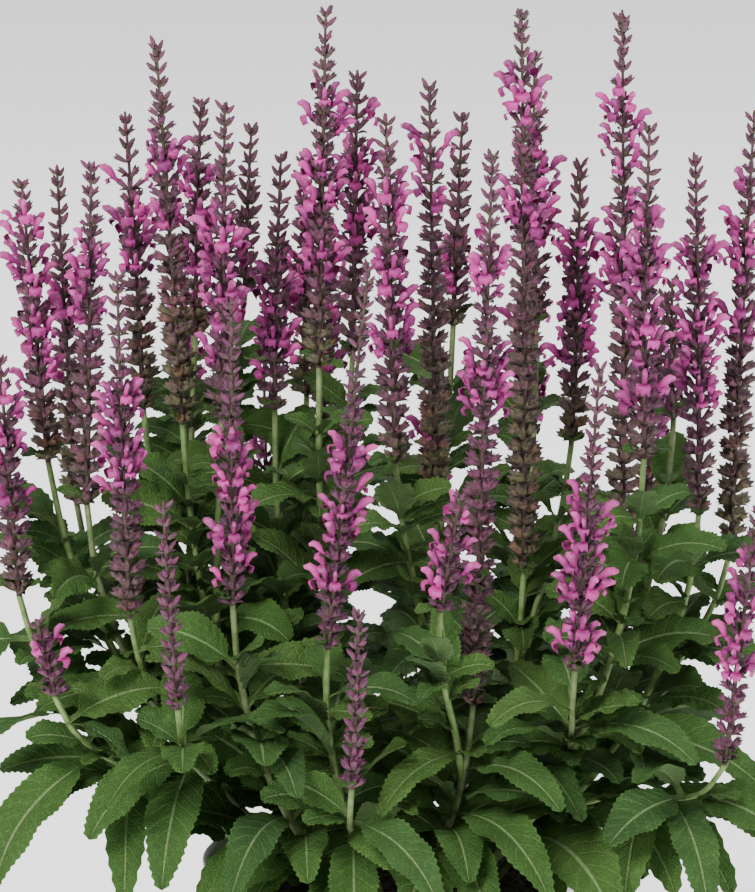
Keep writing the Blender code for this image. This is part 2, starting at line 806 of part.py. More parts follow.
def make_soil(stalks, parts, material):
    inside = POT_WALL + FIT_GAP
    floor = 3.0 + POT_WALL + FIT_GAP
    band = POT_HEIGHT - POT_BAND
    top_radius = POT_RIM_RADIUS - 3.4 - inside
    profile = [
        (0, SOIL_TOP),
        (52, SOIL_TOP - 0.8),
        (top_radius, SOIL_TOP - SOIL_DOME),
        (wall_radius(band) - inside, band - 1),
        (wall_radius(floor) - inside, floor),
        (0, floor),
    ]
    soil = turned("soil", profile, POT_STEPS, parts)
    cutters = new_helpers("stem_holes")
    for stalk in (s for s in stalks if s.main):
        foot = stalk.line[0]
        bore = STEM_RADIUS_LOW + FIT_GAP
        rod("hole", foot.x, foot.y, SOIL_TOP - STEM_SINK - FIT_GAP, SOIL_TOP + 9, bore + 1.0, 4, cutters)
    cut(soil, cutters)
    soil.data.materials.append(material)


def main():
    for old in list(bpy.data.objects):
        bpy.data.objects.remove(old)
    parts = bpy.data.collections.new("perennial_salvia")
    bpy.context.scene.collection.children.link(parts)
    leaf_green = new_material("leaf_green", (0.10, 0.22, 0.06), 0.6)
    floret_purple = new_material("floret_purple", (0.33, 0.07, 0.22), 0.6)
    lines = spike_lines()
    stalks = stalks_of(lines)
    leaves = place_leaves(lines, stalks)
    for number in range(1, STEM_COUNT + 1):
        make_leafy_stem(number, stalks, leaves, parts, leaf_green)
    chance = random.Random(3)
    for number, (spike, line) in enumerate(zip(SPIKES, lines), 1):
        made = new_object(f"flower_spike_{number:02d}", spike_mesh(spike, line, chance), parts)
        made.data.materials.append(floret_purple)
    make_pot(parts, new_material("pot_plastic", (0.80, 0.79, 0.83), 0.45))
    make_soil(stalks, parts, new_material("potting_soil", (0.03, 0.02, 0.015), 0.95))
    print("leaves placed:", len(leaves))


main()
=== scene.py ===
import math
import random
from functools import partial
from typing import NamedTuple

import bmesh
import bpy
import numpy as np
from mathutils import Matrix, Vector, kdtree, noise


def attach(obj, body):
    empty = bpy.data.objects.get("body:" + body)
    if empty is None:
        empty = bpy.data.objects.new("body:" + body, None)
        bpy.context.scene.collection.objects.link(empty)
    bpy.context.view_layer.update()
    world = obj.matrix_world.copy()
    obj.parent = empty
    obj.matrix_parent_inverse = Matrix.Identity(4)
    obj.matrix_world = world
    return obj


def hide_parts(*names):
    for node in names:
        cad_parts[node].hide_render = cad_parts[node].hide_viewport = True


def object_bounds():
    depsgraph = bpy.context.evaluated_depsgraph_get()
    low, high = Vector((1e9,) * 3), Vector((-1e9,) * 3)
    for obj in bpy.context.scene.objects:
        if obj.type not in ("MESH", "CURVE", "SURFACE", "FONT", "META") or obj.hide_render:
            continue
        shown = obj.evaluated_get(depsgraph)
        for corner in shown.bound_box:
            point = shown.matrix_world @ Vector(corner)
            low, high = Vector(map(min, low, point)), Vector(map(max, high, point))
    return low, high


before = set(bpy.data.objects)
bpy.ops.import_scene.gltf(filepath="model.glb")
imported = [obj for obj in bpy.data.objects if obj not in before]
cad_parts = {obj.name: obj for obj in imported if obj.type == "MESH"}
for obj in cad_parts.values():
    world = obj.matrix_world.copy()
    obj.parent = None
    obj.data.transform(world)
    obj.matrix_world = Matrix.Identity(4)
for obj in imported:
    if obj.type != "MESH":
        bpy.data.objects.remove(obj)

bl_info = {
    "name": "Perennial salvia",
    "version": (1, 0, 0),
    "blender": (4, 5, 0),
    "location": "3D Viewport > Sidebar > Salvia",
    "description": "Dresses a potted perennial salvia with fine florets, leaves, stems and soil",
    "category": "Object",
}

MM = 0.001
UP = Vector((0, 0, 1))
CAD_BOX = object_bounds()
BOX_INSET = 0.2 * MM

# The front view: its size in pixels, the column of the pot's axis, a row and its height in mm, and mm a pixel
VIEW_WIDTH = 755
VIEW_HEIGHT = 892
VIEW_AXIS_COLUMN = 400
VIEW_BASE_ROW = 850
VIEW_BASE_HEIGHT = 155
VIEW_SCALE = 0.42
VIEW_RISE_PER_ROW = 0.4286
CAMERA_TILT = math.radians(11.5)
CAMERA_DISTANCE = 2.5
SENSOR_WIDTH = 36

# Places of the materials on a flower spike and on a leafy stem
STEM_SLOT = 0
CALYX_SLOT = 1
PETAL_SLOT = 2
SPIKE_LEAF_SLOT = 3
STEM_LEAF_SLOT = 1

# Pot and soil, in millimetres
POT_HEIGHT = 150.0
POT_RIM_RADIUS = 84.0
POT_FOOT_RADIUS = 62.0
POT_WALL = 2.0
POT_BAND = 20.0
DRAIN_HOLES = 5
DRAIN_RADIUS = 6.0
SOIL_TOP = 142.0
SOIL_DOME = 4.0
FIT_GAP = 0.4

# The plant's general sizes, in millimetres
VIEW_TILT = math.radians(11)
CROWN_REACH = 46.0
STEM_RADIUS_LOW = 2.3
STEM_RADIUS_HIGH = 1.3
MAIN_STEPS = 6
SIDE_STEPS = 4
SPIKE_ROOM = 23.5
LEAF_CLEARANCE = 4.4
LEAF_LOW = 80.0
LEAF_HIGH = 42.0
LEAF_SAMPLE = 3.6
LEAF_ROLL = 0.62
OWN_ROOM = 10.0
OWN_CLEARANCE = 3.2
FILL_CLEARANCE = 2.2
SPIKE_REACH = 10.0
GROUND_CLEARANCE = 12
MOUND_HEIGHT = 150
STALK_SHARE = 0.16
RIB_STEPS = 60
VEINS = 11
VEIN_SLANT = 1.7
LEAF_GRID = (8, 44)
FILL_GRID = (4, 22)
FOOT_GRID = (6, 16)
ROOT_SPACING = 7.0


class Spike(NamedTuple):
    """A flower spike, seen from the front: across and up from the rim's centre in mm, depth behind it.

    bloom is the stretch in open flower, from 0 at the spike's foot to 1 at its tip.
    """

    stem: int
    tip: tuple
    foot: tuple
    depth: float
    bloom: tuple
    kind: str


# Each row: stem, tip across and up, foot across and up, depth, start and end of bloom, kind
SPIKE_ROWS = (
    (1, -167, 212, -160, 112, -12, 0.35, 0.92, "mid"),
    (1, -150, 104, -143, 72, -62, 0.2, 0.7, "young"),
    (2, -159, 286, -149, 168, 22, 0.25, 0.88, "old"),
    (2, -146, 292, -139, 150, 60, 0.45, 0.66, "old"),
    (3, -129, 292, -132, 150, 6, 0.5, 0.82, "mid"),
    (3, -116, 246, -112, 104, -48, 0.34, 0.62, "mid"),
    (3, -96, 152, -91, 68, -96, 0.0, 0.0, "young"),
    (4, -102, 343, -92, 184, 20, 0.5, 0.74, "old"),
    (5, -117, 317, -110, 190, 62, 0.45, 0.75, "old"),
    (4, -73, 318, -75, 186, 4, 0.14, 0.66, "mid"),
    (5, -85, 322, -88, 222, 78, 0.25, 0.75, "old"),
    (6, -69, 236, -69, 110, -70, 0.02, 0.55, "young"),
    (5, -64, 312, -67, 240, 104, 0.0, 0.0, "old"),
    (7, -50, 298, -53, 190, 30, 0.1, 0.5, "mid"),
    (7, -41, 300, -40, 196, 76, 0.3, 0.6, "old"),
    (8, -31, 356, -34, 208, 12, 0.22, 0.8, "old"),
    (8, -18, 334, -20, 214, 52, 0.3, 0.86, "mid"),
    (9, -13, 250, -30, 92, -76, 0.14, 0.52, "young"),
    (9, -17, 110, -20, 36, -112, 0.0, 0.0, "young"),
    (10, 12, 325, 15, 142, 8, 0.66, 0.88, "old"),
    (10, -6, 312, -2, 168, -24, 0.3, 0.78, "mid"),
    (10, 27, 317, 23, 226, 66, 0.1, 0.3, "old"),
    (11, 37, 294, 30, 68, -64, 0.5, 0.86, "mid"),
    (11, 24, 156, 16, 108, -92, 0.05, 0.8, "young"),
    (12, 50, 356, 52, 122, -6, 0.58, 0.9, "old"),
    (12, 57, 342, 58, 226, 44, 0.25, 0.7, "mid"),
    (12, 76, 293, 73, 176, 34, 0.25, 0.7, "old"),
    (13, 92, 356, 94, 86, 4, 0.55, 0.88, "old"),
    (14, 102, 307, 101, 170, -34, 0.12, 0.7, "mid"),
    (14, 80, 207, 71, 84, -94, 0.02, 0.56, "young"),
    (13, 116, 246, 117, 186, 46, 0.0, 0.0, "old"),
    (15, 123, 294, 126, 146, 4, 0.26, 0.74, "mid"),
    (15, 149, 316, 141, 130, 28, 0.45, 0.86, "old"),
    (15, 146, 150, 134, 44, -76, 0.3, 0.8, "young"),
    (16, -96, 262, -92, 160, 128, 0.3, 0.7, "mid"),
    (16, -30, 268, -34, 160, 128, 0.4, 0.8, "old"),
    (16, -60, 214, -58, 120, 156, 0.1, 0.6, "young"),
    (17, 58, 262, 54, 150, 124, 0.2, 0.7, "mid"),
    (17, 116, 240, 108, 140, 106, 0.3, 0.75, "old"),
    (17, 14, 226, 14, 120, 142, 0.1, 0.6, "young"),
)
SPIKES = tuple(Spike(row[0], row[1:3], row[3:5], row[5], row[6:8], row[8]) for row in SPIKE_ROWS)
STEM_COUNT = 17

# Large leaves low in the front. Each: stem, the tip's across and up as seen, depth and width
FRONT_LEAVES = (
    (1, -168, -9, -60, 21), (1, -155, 30, -50, 12), (1, -166, 57, -20, 18), (2, -163, 80, 14, 17),
    (3, -152, 48, -44, 20), (3, -98, -8, -92, 22), (3, -105, 40, -112, 15), (3, -78, 70, -112, 15),
    (6, -69, -9, -122, 19), (6, -42, 32, -118, 17), (6, -76, -16, -100, 24), (6, -90, 97, -82, 14),
    (6, -50, 88, -84, 14), (9, -44, 30, -128, 17), (9, 15, -11, -130, 17), (9, -19, -20, -122, 20),
    (9, -57, 61, -112, 15), (9, -12, 66, -108, 15), (11, 65, 26, -112, 18), (11, -10, 38, -98, 15),
    (11, 60, -9, -120, 21), (11, 10, 126, -64, 14), (11, 36, -22, -112, 22), (12, 50, 10, -128, 18),
    (12, 84, 40, -108, 17), (14, 88, -22, -112, 30), (14, 149, 15, -88, 24), (14, 38, 76, -112, 14),
    (14, 92, 84, -88, 15), (15, 126, -16, -96, 18), (15, 147, 38, -96, 15), (13, 150, 70, -30, 18),
    (9, -30, 8, -104, 18), (11, 28, 12, -102, 19), (12, 20, 52, -66, 16), (10, -6, 60, -60, 16),
    (7, -60, 44, -60, 16), (8, -35, 46, -48, 16), (15, 100, -5, -74, 20), (4, -100, 62, -30, 17),
    (6, -20, -4, -94, 19), (3, -128, 12, -78, 19), (2, -130, 76, -8, 17), (14, 70, 50, -100, 16),
    (14, 118, 30, -100, 18), (1, -130, 46, -84, 17), (13, 110, 70, -50, 17), (15, 160, 4, -50, 20),
    (12, 40, 56, -24, 18), (10, 12, 22, -8, 19), (13, 62, 32, -14, 19), (8, -50, 30, -20, 18),
)
# Leaves that hang over the pot's front edge. Each: the tip's across and up as seen, depth and width
COVER_LEAVES = (
    (-114, -15, -78, 17), (-84, -17, -88, 19), (-62, -16, -86, 16), (-36, -17, -98, 18),
    (66, -17, -92, 18), (92, -14, -88, 18), (114, -12, -70, 20), (138, -13, -60, 19),
)


class Stalk(NamedTuple):
    """A stem or side shoot: the points of its middle line and the number of its leafy stem."""

    stem: int
    line: list
    main: bool


class Leaf(NamedTuple):
    """A leaf: its root, its midrib's heading, rise and fall and its roll in radians, its size in mm."""

    stem: int
    root: Vector
    heading: float
    rise: float
    fall: float
    length: float
    width: float
    roll: float


def wall_radius(height):
    """The radius of the pot's outer wall below its band."""
    return POT_FOOT_RADIUS + (POT_RIM_RADIUS - 3 - POT_FOOT_RADIUS) * height / (POT_HEIGHT - POT_BAND)


def from_view(across, up, depth):
    """The point that the front view shows there, at that depth behind the pot's axis."""
    height = POT_HEIGHT + (up - depth * math.sin(VIEW_TILT)) / math.cos(VIEW_TILT)
    return Vector((across, depth, height))


def hermite(start, start_pull, end, end_pull, count):
    """Points of a smooth curve between two points that leaves and arrives along the given pulls."""
    points = []
    for i in range(count + 1):
        t = i / count
        a = 2 * t**3 - 3 * t**2 + 1
        b = t**3 - 2 * t**2 + t
        c = 3 * t**2 - 2 * t**3
        d = t**3 - t**2
        points.append(a * start + b * start_pull + c * end + d * end_pull)
    return points


def settle_depths():
    """Moves spikes apart along their depth alone, so that each keeps its place in the front view."""
    depths = [spike.depth for spike in SPIKES]
    for _ in range(60):
        for i, first in enumerate(SPIKES):
            for j in range(i + 1, len(SPIKES)):
                push = shortfall(first, SPIKES[j], depths[i], depths[j])
                if push > 0:
                    side = 1 if depths[j] >= depths[i] else -1
                    depths[i] -= side * push / 2
                    depths[j] += side * push / 2
    return depths


def shortfall(first, second, first_depth, second_depth):
    """How much further apart in depth two spikes must stand to clear each other."""
    low = max(first.foot[1], second.foot[1])
    high = min(first.tip[1], second.tip[1])
    if low >= high:
        return 0
    gaps = []
    for height in (low, (low + high) / 2, high):
        sides = []
        for spike in (first, second):
            share = (height - spike.foot[1]) / (spike.tip[1] - spike.foot[1])
            sides.append(spike.foot[0] + share * (spike.tip[0] - spike.foot[0]))
        gaps.append(abs(sides[0] - sides[1]))
    across = min(gaps)
    if across >= SPIKE_ROOM:
        return 0
    need = math.sqrt(SPIKE_ROOM**2 - across**2)
    return need - abs(first_depth - second_depth)


def spike_lines():
    """The middle line of every spike, from its foot to its tip, in mm."""
    chance = random.Random(11)
    lines = []
    for spike, depth in zip(SPIKES, settle_depths()):
        foot = from_view(*spike.foot, depth * 0.94)
        tip = from_view(*spike.tip, depth)
        sway = Vector((chance.uniform(-1, 1), chance.uniform(-1, 1), 0)) * 2.5
        along = tip - foot
        points = hermite(foot, along + sway, tip, along - sway, 24)
        lines.append(points)
    return lines


def crown_point(lines, members):
    """Where a leafy stem leaves the soil: nearer the middle than its spikes, and on the same side."""
    middle = sum((lines[i][0] for i in members), Vector()) / len(members)
    flat = Vector((middle.x, middle.y, 0))
    reach = CROWN_REACH * (flat.length / 165) ** 0.7
    return flat.normalized() * reach + UP * SOIL_TOP


def stalks_of(lines):
    """All stems and side shoots. A stem's first spike ends its main stalk, and the others branch off it."""
    stalks = []
    for number in range(1, STEM_COUNT + 1):
        members = [i for i, spike in enumerate(SPIKES) if spike.stem == number]
        crown = crown_point(lines, members)
        end = lines[members[0]][0]
        aim = (lines[members[0]][6] - end).normalized()
        span = (end - crown).length
        outward = Vector((end.x - crown.x, end.y - crown.y, 0))
        lean = outward.normalized() * min(1.0, outward.length / 60)
        start_pull = (lean * 0.95 + UP * 0.75) * span * 0.75
        main = straightened(hermite(crown, start_pull, end, aim * span * 1.05, 24), MAIN_STEPS)
        stalks.append(Stalk(number, main, True))
        for i in members[1:]:
            stalks.append(Stalk(number, straightened(side_shoot(main, lines[i]), SIDE_STEPS), False))
    return stalks


def straightened(line, steps):
    """The line's points moved onto straight runs between a few of them, which are the stem's own facets."""
    count = len(line) - 1
    picks = [round(i * count / steps) for i in range(steps + 1)]
    points = []
    for a, b in zip(picks, picks[1:]):
        points.extend(line[a].lerp(line[b], (i - a) / (b - a)) for i in range(a, b))
    return [*points, line[-1]]


def side_shoot(main, line):
    """The middle line of a side shoot from a main stalk to the foot of its own spike."""
    end = line[0]
    wanted = SOIL_TOP + 0.42 * (end.z - SOIL_TOP)
    at = min(range(4, 17), key=lambda k: abs(main[k].z - wanted))
    start = main[at]
    span = (end - start).length
    along = (main[at + 1] - main[at - 1]).normalized()
    pull = (along + (end - start).normalized()).normalized() * span * 0.8
    return hermite(start, pull, end, (line[6] - end).normalized() * span * 0.9, 16)


def midrib(leaf, count):
    """Points, headings along and across, and share from root to tip, at even steps along a leaf's midrib."""
    flat = Vector((math.cos(leaf.heading), math.sin(leaf.heading), 0))
    level = Vector((-math.sin(leaf.heading), math.cos(leaf.heading), 0))
    point = leaf.root.copy()
    step = leaf.length / count
    stations = []
    for i in range(count + 1):
        share = i / count
        slope = leaf.rise - leaf.fall * share**1.2
        along = flat * math.cos(slope) + UP * math.sin(slope)
        across = level * math.cos(leaf.roll) + along.cross(level) * math.sin(leaf.roll)
        stations.append((point.copy(), along, across, share))
        point += along * step
    return stations


def upper_side(along, across):
    """The direction that a leaf's upper face looks in."""
    over = along.cross(across)
    return over if over.z > 0 else -over


def half_width(leaf, share):
    """Half of a leaf's width there: a narrow stalk, then a blade broadest below its middle."""
    petiole = 1.5
    if share <= STALK_SHARE:
        return petiole
    t = (share - STALK_SHARE) / (1 - STALK_SHARE)
    swell = max(0.0, math.sin(math.pi * min(1, t) ** 0.78)) ** 0.8
    return petiole + (leaf.width / 2 - petiole) * swell * (1 - 0.06 * t)


def leaf_samples(leaf):
    """Points spread over a leaf, close enough together that no other leaf slips between them."""
    points = []
    count = max(6, round(leaf.length / LEAF_SAMPLE))
    for point, along, across, share in midrib(leaf, count):
        half = half_width(leaf, share) if share < 0.98 else 0.5
        over = upper_side(along, across)
        rows = max(1, round(half / LEAF_SAMPLE))
        for k in range(-rows, rows + 1):
            side = half * k / rows
            points.append(point + across * side + over * abs(side) * 0.22)
    return points


def clear_of_pot(points):
    """Whether points stay over the pot's rim inside it, and outside its wall below."""
    for p in points:
        radius = math.hypot(p.x, p.y)
        if p.z < GROUND_CLEARANCE:
            return False
        if p.z < POT_HEIGHT + 2.5 and radius < POT_RIM_RADIUS + 3.5:
            if radius > POT_RIM_RADIUS - 8 or p.z < SOIL_TOP + 5:
                return False
    return True


class Crowd:
    """The room already taken, as one tree of points for each leafy stem and one for all the spikes."""

    SPIKES = -1

    def __init__(self, lines):
        self.points = {}
        self.trees = {}
        for line in lines:
            self.add(self.SPIKES, [a.lerp(b, t) for a, b in zip(line, line[1:]) for t in (0, 0.5)])

    def add(self, owner, points):
        """Keeps points as room that the owner has taken."""
        held = self.points.setdefault(owner, [])
        held.extend(points)
        tree = kdtree.KDTree(len(held))
        for i, p in enumerate(held):
            tree.insert(p, i)
        tree.balance()
        self.trees[owner] = tree

    def lets_in(self, leaf, points, gap=LEAF_CLEARANCE):
        """Whether a leaf's points clear the pot, the spikes and the leaves already there."""
        if not clear_of_pot(points):
            return False
        for owner, tree in self.trees.items():
            room = gap + (SPIKE_REACH if owner == self.SPIKES else 0.0)
            own = owner == leaf.stem
            for p in points:
                if (p - leaf.root).length < (OWN_ROOM if own else 1):
                    continue
                found, _, distance = tree.find(p)
                if own and (found - leaf.root).length < OWN_ROOM:
                    continue
                if distance < (OWN_CLEARANCE if own else room):
                    return False
        return True


def trials(leaf):
    """The leaf as first meant, then turned, lifted, lowered and shortened by steps."""
    for scale in (1.0, 0.84, 0.7):
        for turn in (0, 18, -18, 36, -36, 56, -56):
            for lift in (0, 14, -16, 28):
                yield leaf._replace(
                    heading=leaf.heading + math.radians(turn),
                    rise=leaf.rise + math.radians(lift),
                    length=leaf.length * scale,
                    width=leaf.width * (0.5 + 0.5 * scale),
                )


def wished_leaves(stalks):
    """Every leaf as it would grow with nothing in its way, in opposite pairs, smaller with height."""
    chance = random.Random(5)
    wishes = []
    for stalk in stalks:
        length = sum((b - a).length for a, b in zip(stalk.line, stalk.line[1:]))
        along = 5.0 if stalk.main else 26.0
        turn = chance.uniform(0, math.pi)
        while along < length - 16:
            at = along / length * (len(stalk.line) - 1)
            i = min(int(at), len(stalk.line) - 2)
            root = stalk.line[i].lerp(stalk.line[i + 1], at - i)
            outward = math.atan2(root.y, root.x)
            height = min(1.0, max(0.0, (root.z - SOIL_TOP) / MOUND_HEIGHT))
            size = LEAF_LOW + (LEAF_HIGH - LEAF_LOW) * height**0.6
            if not stalk.main:
                size *= 0.8
            for side in (0, math.pi):
                heading = turn + side
                if along < 30 and stalk.main:
                    heading = outward + (-0.6 if side else 0.6) + chance.uniform(-0.3, 0.3)
                own = size * chance.uniform(0.84, 1.1)
                wishes.append(
                    Leaf(
                        stalk.stem,
                        root + Vector((math.cos(heading), math.sin(heading), 0)) * 0.3,
                        heading,
                        math.radians(chance.uniform(22, 44) if along > 30 else chance.uniform(30, 58)),
                        math.radians(chance.uniform(30, 62) if along > 30 else chance.uniform(60, 92)),
                        own,
                        own * chance.uniform(0.4, 0.5),
                        LEAF_ROLL * math.cos(heading) + chance.uniform(-0.2, 0.2),
                    )
                )
            turn += math.pi / 2 + chance.uniform(-0.25, 0.25)
            along += (25 if root.y < 40 else 38) + 22 * height + (0 if stalk.main else 12)
    return sorted(wishes, key=lambda leaf: -leaf.length)


def misfit(root, tip, wanted):
    """How badly a root suits a leaf of the wanted length that ends at the tip."""
    return abs((tip - root).length - wanted) + 0.3 * abs(root.z - tip.z)


def leaf_between(stem, root, tip, width):
    """A leaf that rises from its root and bends down to its tip."""
    away = tip - root
    slope = math.atan2(away.z, math.hypot(away.x, away.y))
    heading = math.atan2(away.y, away.x)
    roll = LEAF_ROLL * math.cos(heading)
    return Leaf(stem, root, heading, slope + 0.5, 1.1, away.length * 1.05, width, roll)


def front_leaves(stalks):
    """The large leaves low in the front, each rooted where its own stem is a leaf's length from its tip."""
    leaves = []
    taken = []
    for stem, across, up, depth, width in FRONT_LEAVES:
        tip = from_view(across, up, depth)
        wanted = 22 + 2.3 * width
        roots = [p for stalk in stalks if stalk.stem == stem for p in stalk.line[1:-4]]
        roots = [p for p in roots if all((p - q).length > ROOT_SPACING for q in taken)]
        root = min(roots, key=lambda p: misfit(p, tip, wanted))
        taken.append(root)
        leaf = leaf_between(stem, root, tip, width)
        beside = Vector((math.cos(leaf.heading), math.sin(leaf.heading), 0.9)) * 0.4
        leaves.append(leaf._replace(root=root + beside, length=min(leaf.length, wanted * 1.5)))
    return leaves


def place_leaves(lines, stalks):
    """The leaves that find room, each turned or shortened until it clears everything already there."""
    crowd = Crowd(lines)
    for stalk in stalks:
        pairs = zip(stalk.line, stalk.line[1:])
        crowd.add(stalk.stem, [a.lerp(b, t) for a, b in pairs for t in (0, 0.34, 0.67)])
    placed = []
    for wish in front_leaves(stalks) + wished_leaves(stalks):
        for leaf in trials(wish):
            points = leaf_samples(leaf)
            if crowd.lets_in(leaf, points):
                crowd.add(leaf.stem, points)
                placed.append(leaf)
                break
    return placed


def millimetres(name, description, default, **limits):
    """A length that the sidebar offers."""
    description = f"{description}, in millimetres"
    return bpy.props.FloatProperty(name=name, description=description, default=default, **limits)


def colour(name, description, default):
    """A colour that the sidebar offers."""
    return bpy.props.FloatVectorProperty(
        name=name, description=description, subtype="COLOR", size=3, default=default, min=0, max=1
    )


class SalviaSizes(bpy.types.PropertyGroup):
    """Sizes of the fine pieces."""

    whorl_step: millimetres("Whorl step", "Distance between whorls low on a spike", 5.9, min=3, max=12)
    calyx_length: millimetres("Calyx length", "Length of a full-grown calyx", 7.4, min=3, max=10)
    corolla_length: millimetres("Corolla length", "Length of an open corolla", 12.0, min=5, max=16)
    leaf_pucker: millimetres("Leaf pucker", "Height of the swellings between a leaf's veins", 0.55)


class SalviaColours(bpy.types.PropertyGroup):
    """Colours of petals, calyces, leaves and the pot."""

    petal: colour("Petal", "Colour of a fresh petal", (0.56, 0.036, 0.29))
    calyx: colour("Calyx", "Colour of a young calyx", (0.115, 0.01, 0.062))
    leaf: colour("Leaf", "Colour of a leaf's upper face", (0.058, 0.13, 0.03))
    pot: colour("Pot", "Colour of the pot's plastic", (0.6, 0.59, 0.64))


class Value:
    """A number on a shader socket, with the arithmetic that adds its Math nodes."""

    def __init__(self, shader, socket):
        self.shader = shader
        self.socket = socket

    def _do(self, operation, *others):
        made = self.shader.node("ShaderNodeMath", {"operation": operation}, [self, *others])
        return Value(self.shader, made.outputs[0])

    def __add__(self, other):
        return self._do("ADD", other)

    __radd__ = __add__

    def __mul__(self, other):
        return self._do("MULTIPLY", other)

    __rmul__ = __mul__

    def __sub__(self, other):
        return self._do("SUBTRACT", other)

    def __rsub__(self, other):
        made = self.shader.node("ShaderNodeMath", {"operation": "SUBTRACT"}, [other, self])
        return Value(self.shader, made.outputs[0])

    def fraction(self):
        """The part after the decimal point."""
        return self._do("FRACT")

    def size(self):
        """The number without its sign."""
        return self._do("ABSOLUTE")

    def above(self, low, high):
        """0 below low, 1 above high, and a smooth rise between."""
        sockets = {"Value": self, "From Min": low, "From Max": high}
        made = self.shader.node("ShaderNodeMapRange", {"interpolation_type": "SMOOTHSTEP"}, sockets)
        return Value(self.shader, made.outputs["Result"])


class Finish:
    """A material and the one method that adds its nodes."""

    def __init__(self, name):
        self.material = bpy.data.materials.new(name)
        self.material.use_nodes = True
        self.tree = self.material.node_tree
        self.surface = self.tree.nodes["Principled BSDF"]

    def node(self, kind, settings=None, sockets=None):
        """A new node with its settings, its sockets fed in order or by name."""
        made = self.tree.nodes.new(kind)
        for name, setting in (settings or {}).items():
            setattr(made, name, setting)
        pairs = enumerate(sockets) if isinstance(sockets, list) else (sockets or {}).items()
        for key, given in pairs:
            self.feed(made.inputs[key], given)
        return made

    def feed(self, socket, given):
        """Links a socket to another one or sets its own number or colour."""
        if isinstance(given, Value):
            given = given.socket
        if isinstance(given, bpy.types.NodeSocket):
            self.tree.links.new(given, socket)
        elif socket.type == "RGBA" and len(given) == 3:
            socket.default_value = (*given, 1)
        else:
            socket.default_value = given

    def set(self, **given):
        """Feeds the surface's sockets; an underscore stands for a space in their names."""
        for name, item in given.items():
            self.feed(self.surface.inputs[name.replace("_", " ")], item)

    def spot(self):
        """The place on the piece, in metres from its origin."""
        return self.node("ShaderNodeTexCoord").outputs["Object"]

    def mark(self, name):
        """The three numbers of a piece's own attribute."""
        held = self.node("ShaderNodeAttribute", {"attribute_name": name})
        parts = self.node("ShaderNodeSeparateXYZ", None, {"Vector": held.outputs["Vector"]})
        return [Value(self, parts.outputs[i]) for i in range(3)]

    def cloud(self, scale, detail=3.0, rough=0.5):
        """Soft patches between 0 and 1."""
        sockets = {"Vector": self.spot(), "Scale": scale, "Detail": detail, "Roughness": rough}
        return Value(self, self.node("ShaderNodeTexNoise", None, sockets).outputs[0])

    def cells(self, scale, feature="F1"):
        """The distance to the middle of the nearest cell, or to its edge."""
        sockets = {"Vector": self.spot(), "Scale": scale}
        made = self.node("ShaderNodeTexVoronoi", {"feature": feature}, sockets)
        return Value(self, made.outputs["Distance"])

    def net(self, scale):
        """1 on the fine lines between cells, falling to 0 in their middles."""
        return 1 - self.cells(scale, "DISTANCE_TO_EDGE").above(0.0, 0.22)

    def mix(self, share, first, second):
        """The first colour at share 0, the second at share 1."""
        made = self.node("ShaderNodeMix", {"data_type": "RGBA"})
        for place, given in ((0, share), (6, first), (7, second)):
            self.feed(made.inputs[place], given)
        return made.outputs[2]

    def bump(self, height, strength, distance):
        """Fine relief, its distance in metres."""
        sockets = {"Height": height, "Strength": strength, "Distance": distance}
        self.set(Normal=self.node("ShaderNodeBump", None, sockets).outputs["Normal"])


def tint(colour, factor):
    """The colour made darker or lighter by a factor."""
    return tuple(min(1.0, c * factor) for c in colour)


def leaf_finish():
    """Sage green with paler veins round dark puckers and a pale midrib; some leaves bluer or yellower."""
    colours = bpy.context.scene.salvia_colours
    finish = Finish("salvia_leaf")
    u, v, kind = finish.mark("blade")
    across = (u * 2 - 1).size()
    middle = 1 - across.above(0.025, 0.085)
    side = ((v * VEINS - across * VEIN_SLANT + 0.2 + finish.cloud(60, 2) * 0.5).fraction() - 0.5).size()
    vein = (1 - side.above(0.015, 0.1)) * (1 - across.above(0.75, 0.95))
    net = finish.net(780)
    patch = finish.cloud(34, 4)
    hue = finish.mix(kind.above(0.0, 0.4), (0.036, 0.085, 0.036), colours.leaf)
    hue = finish.mix(kind.above(0.6, 0.95), hue, (0.098, 0.175, 0.042))
    warm = finish.mix(patch.above(0.3, 0.75) * 0.6, hue, tint(colours.leaf, 1.5))
    deep = finish.mix((1 - net) * 0.7, tuple(colours.leaf), tint(colours.leaf, 0.4))
    netted = finish.mix(net * 0.35 + 0.3, deep, warm)
    lined = finish.mix(vein * 0.45, netted, (0.115, 0.205, 0.06))
    ribbed = finish.mix(middle * 0.8, lined, (0.23, 0.33, 0.14))
    edge = finish.mix(across.above(0.9, 1.0) * 0.3, ribbed, (0.1, 0.19, 0.04))
    shade = finish.mix(1 - v.above(0.0, 0.18), edge, (0.14, 0.22, 0.075))
    back = finish.node("ShaderNodeNewGeometry").outputs["Backfacing"]
    finish.set(Base_Color=finish.mix(Value(finish, back) * 0.5, shade, (0.12, 0.19, 0.08)))
    finish.set(Roughness=0.58 + patch * 0.18 - vein * 0.08)
    height = (1 - net) * 0.35 - vein * 0.5 - middle * 0.6 + finish.cloud(1700, 2) * 0.2
    finish.bump(height, 0.9, 0.0008)
    finish.set(Specular_IOR_Level=0.12)
    return finish.material


def stem_finish():
    """Pale green with fine streaks, flushed dark red on some stems."""
    finish = Finish("salvia_stem")
    flush = finish.mark("blade")[2]
    streak = finish.cloud(220, 3)
    green = finish.mix(streak.above(0.3, 0.7), (0.11, 0.2, 0.045), (0.22, 0.33, 0.11))
    flushed = finish.mix(flush * streak.above(0.1, 0.4), green, (0.065, 0.008, 0.03))
    finish.set(Base_Color=flushed, Roughness=0.5 + streak * 0.15)
    finish.bump(finish.cloud(1400, 2), 0.5, 0.0004)
    finish.set(Sheen_Weight=0.06)
    return finish.material


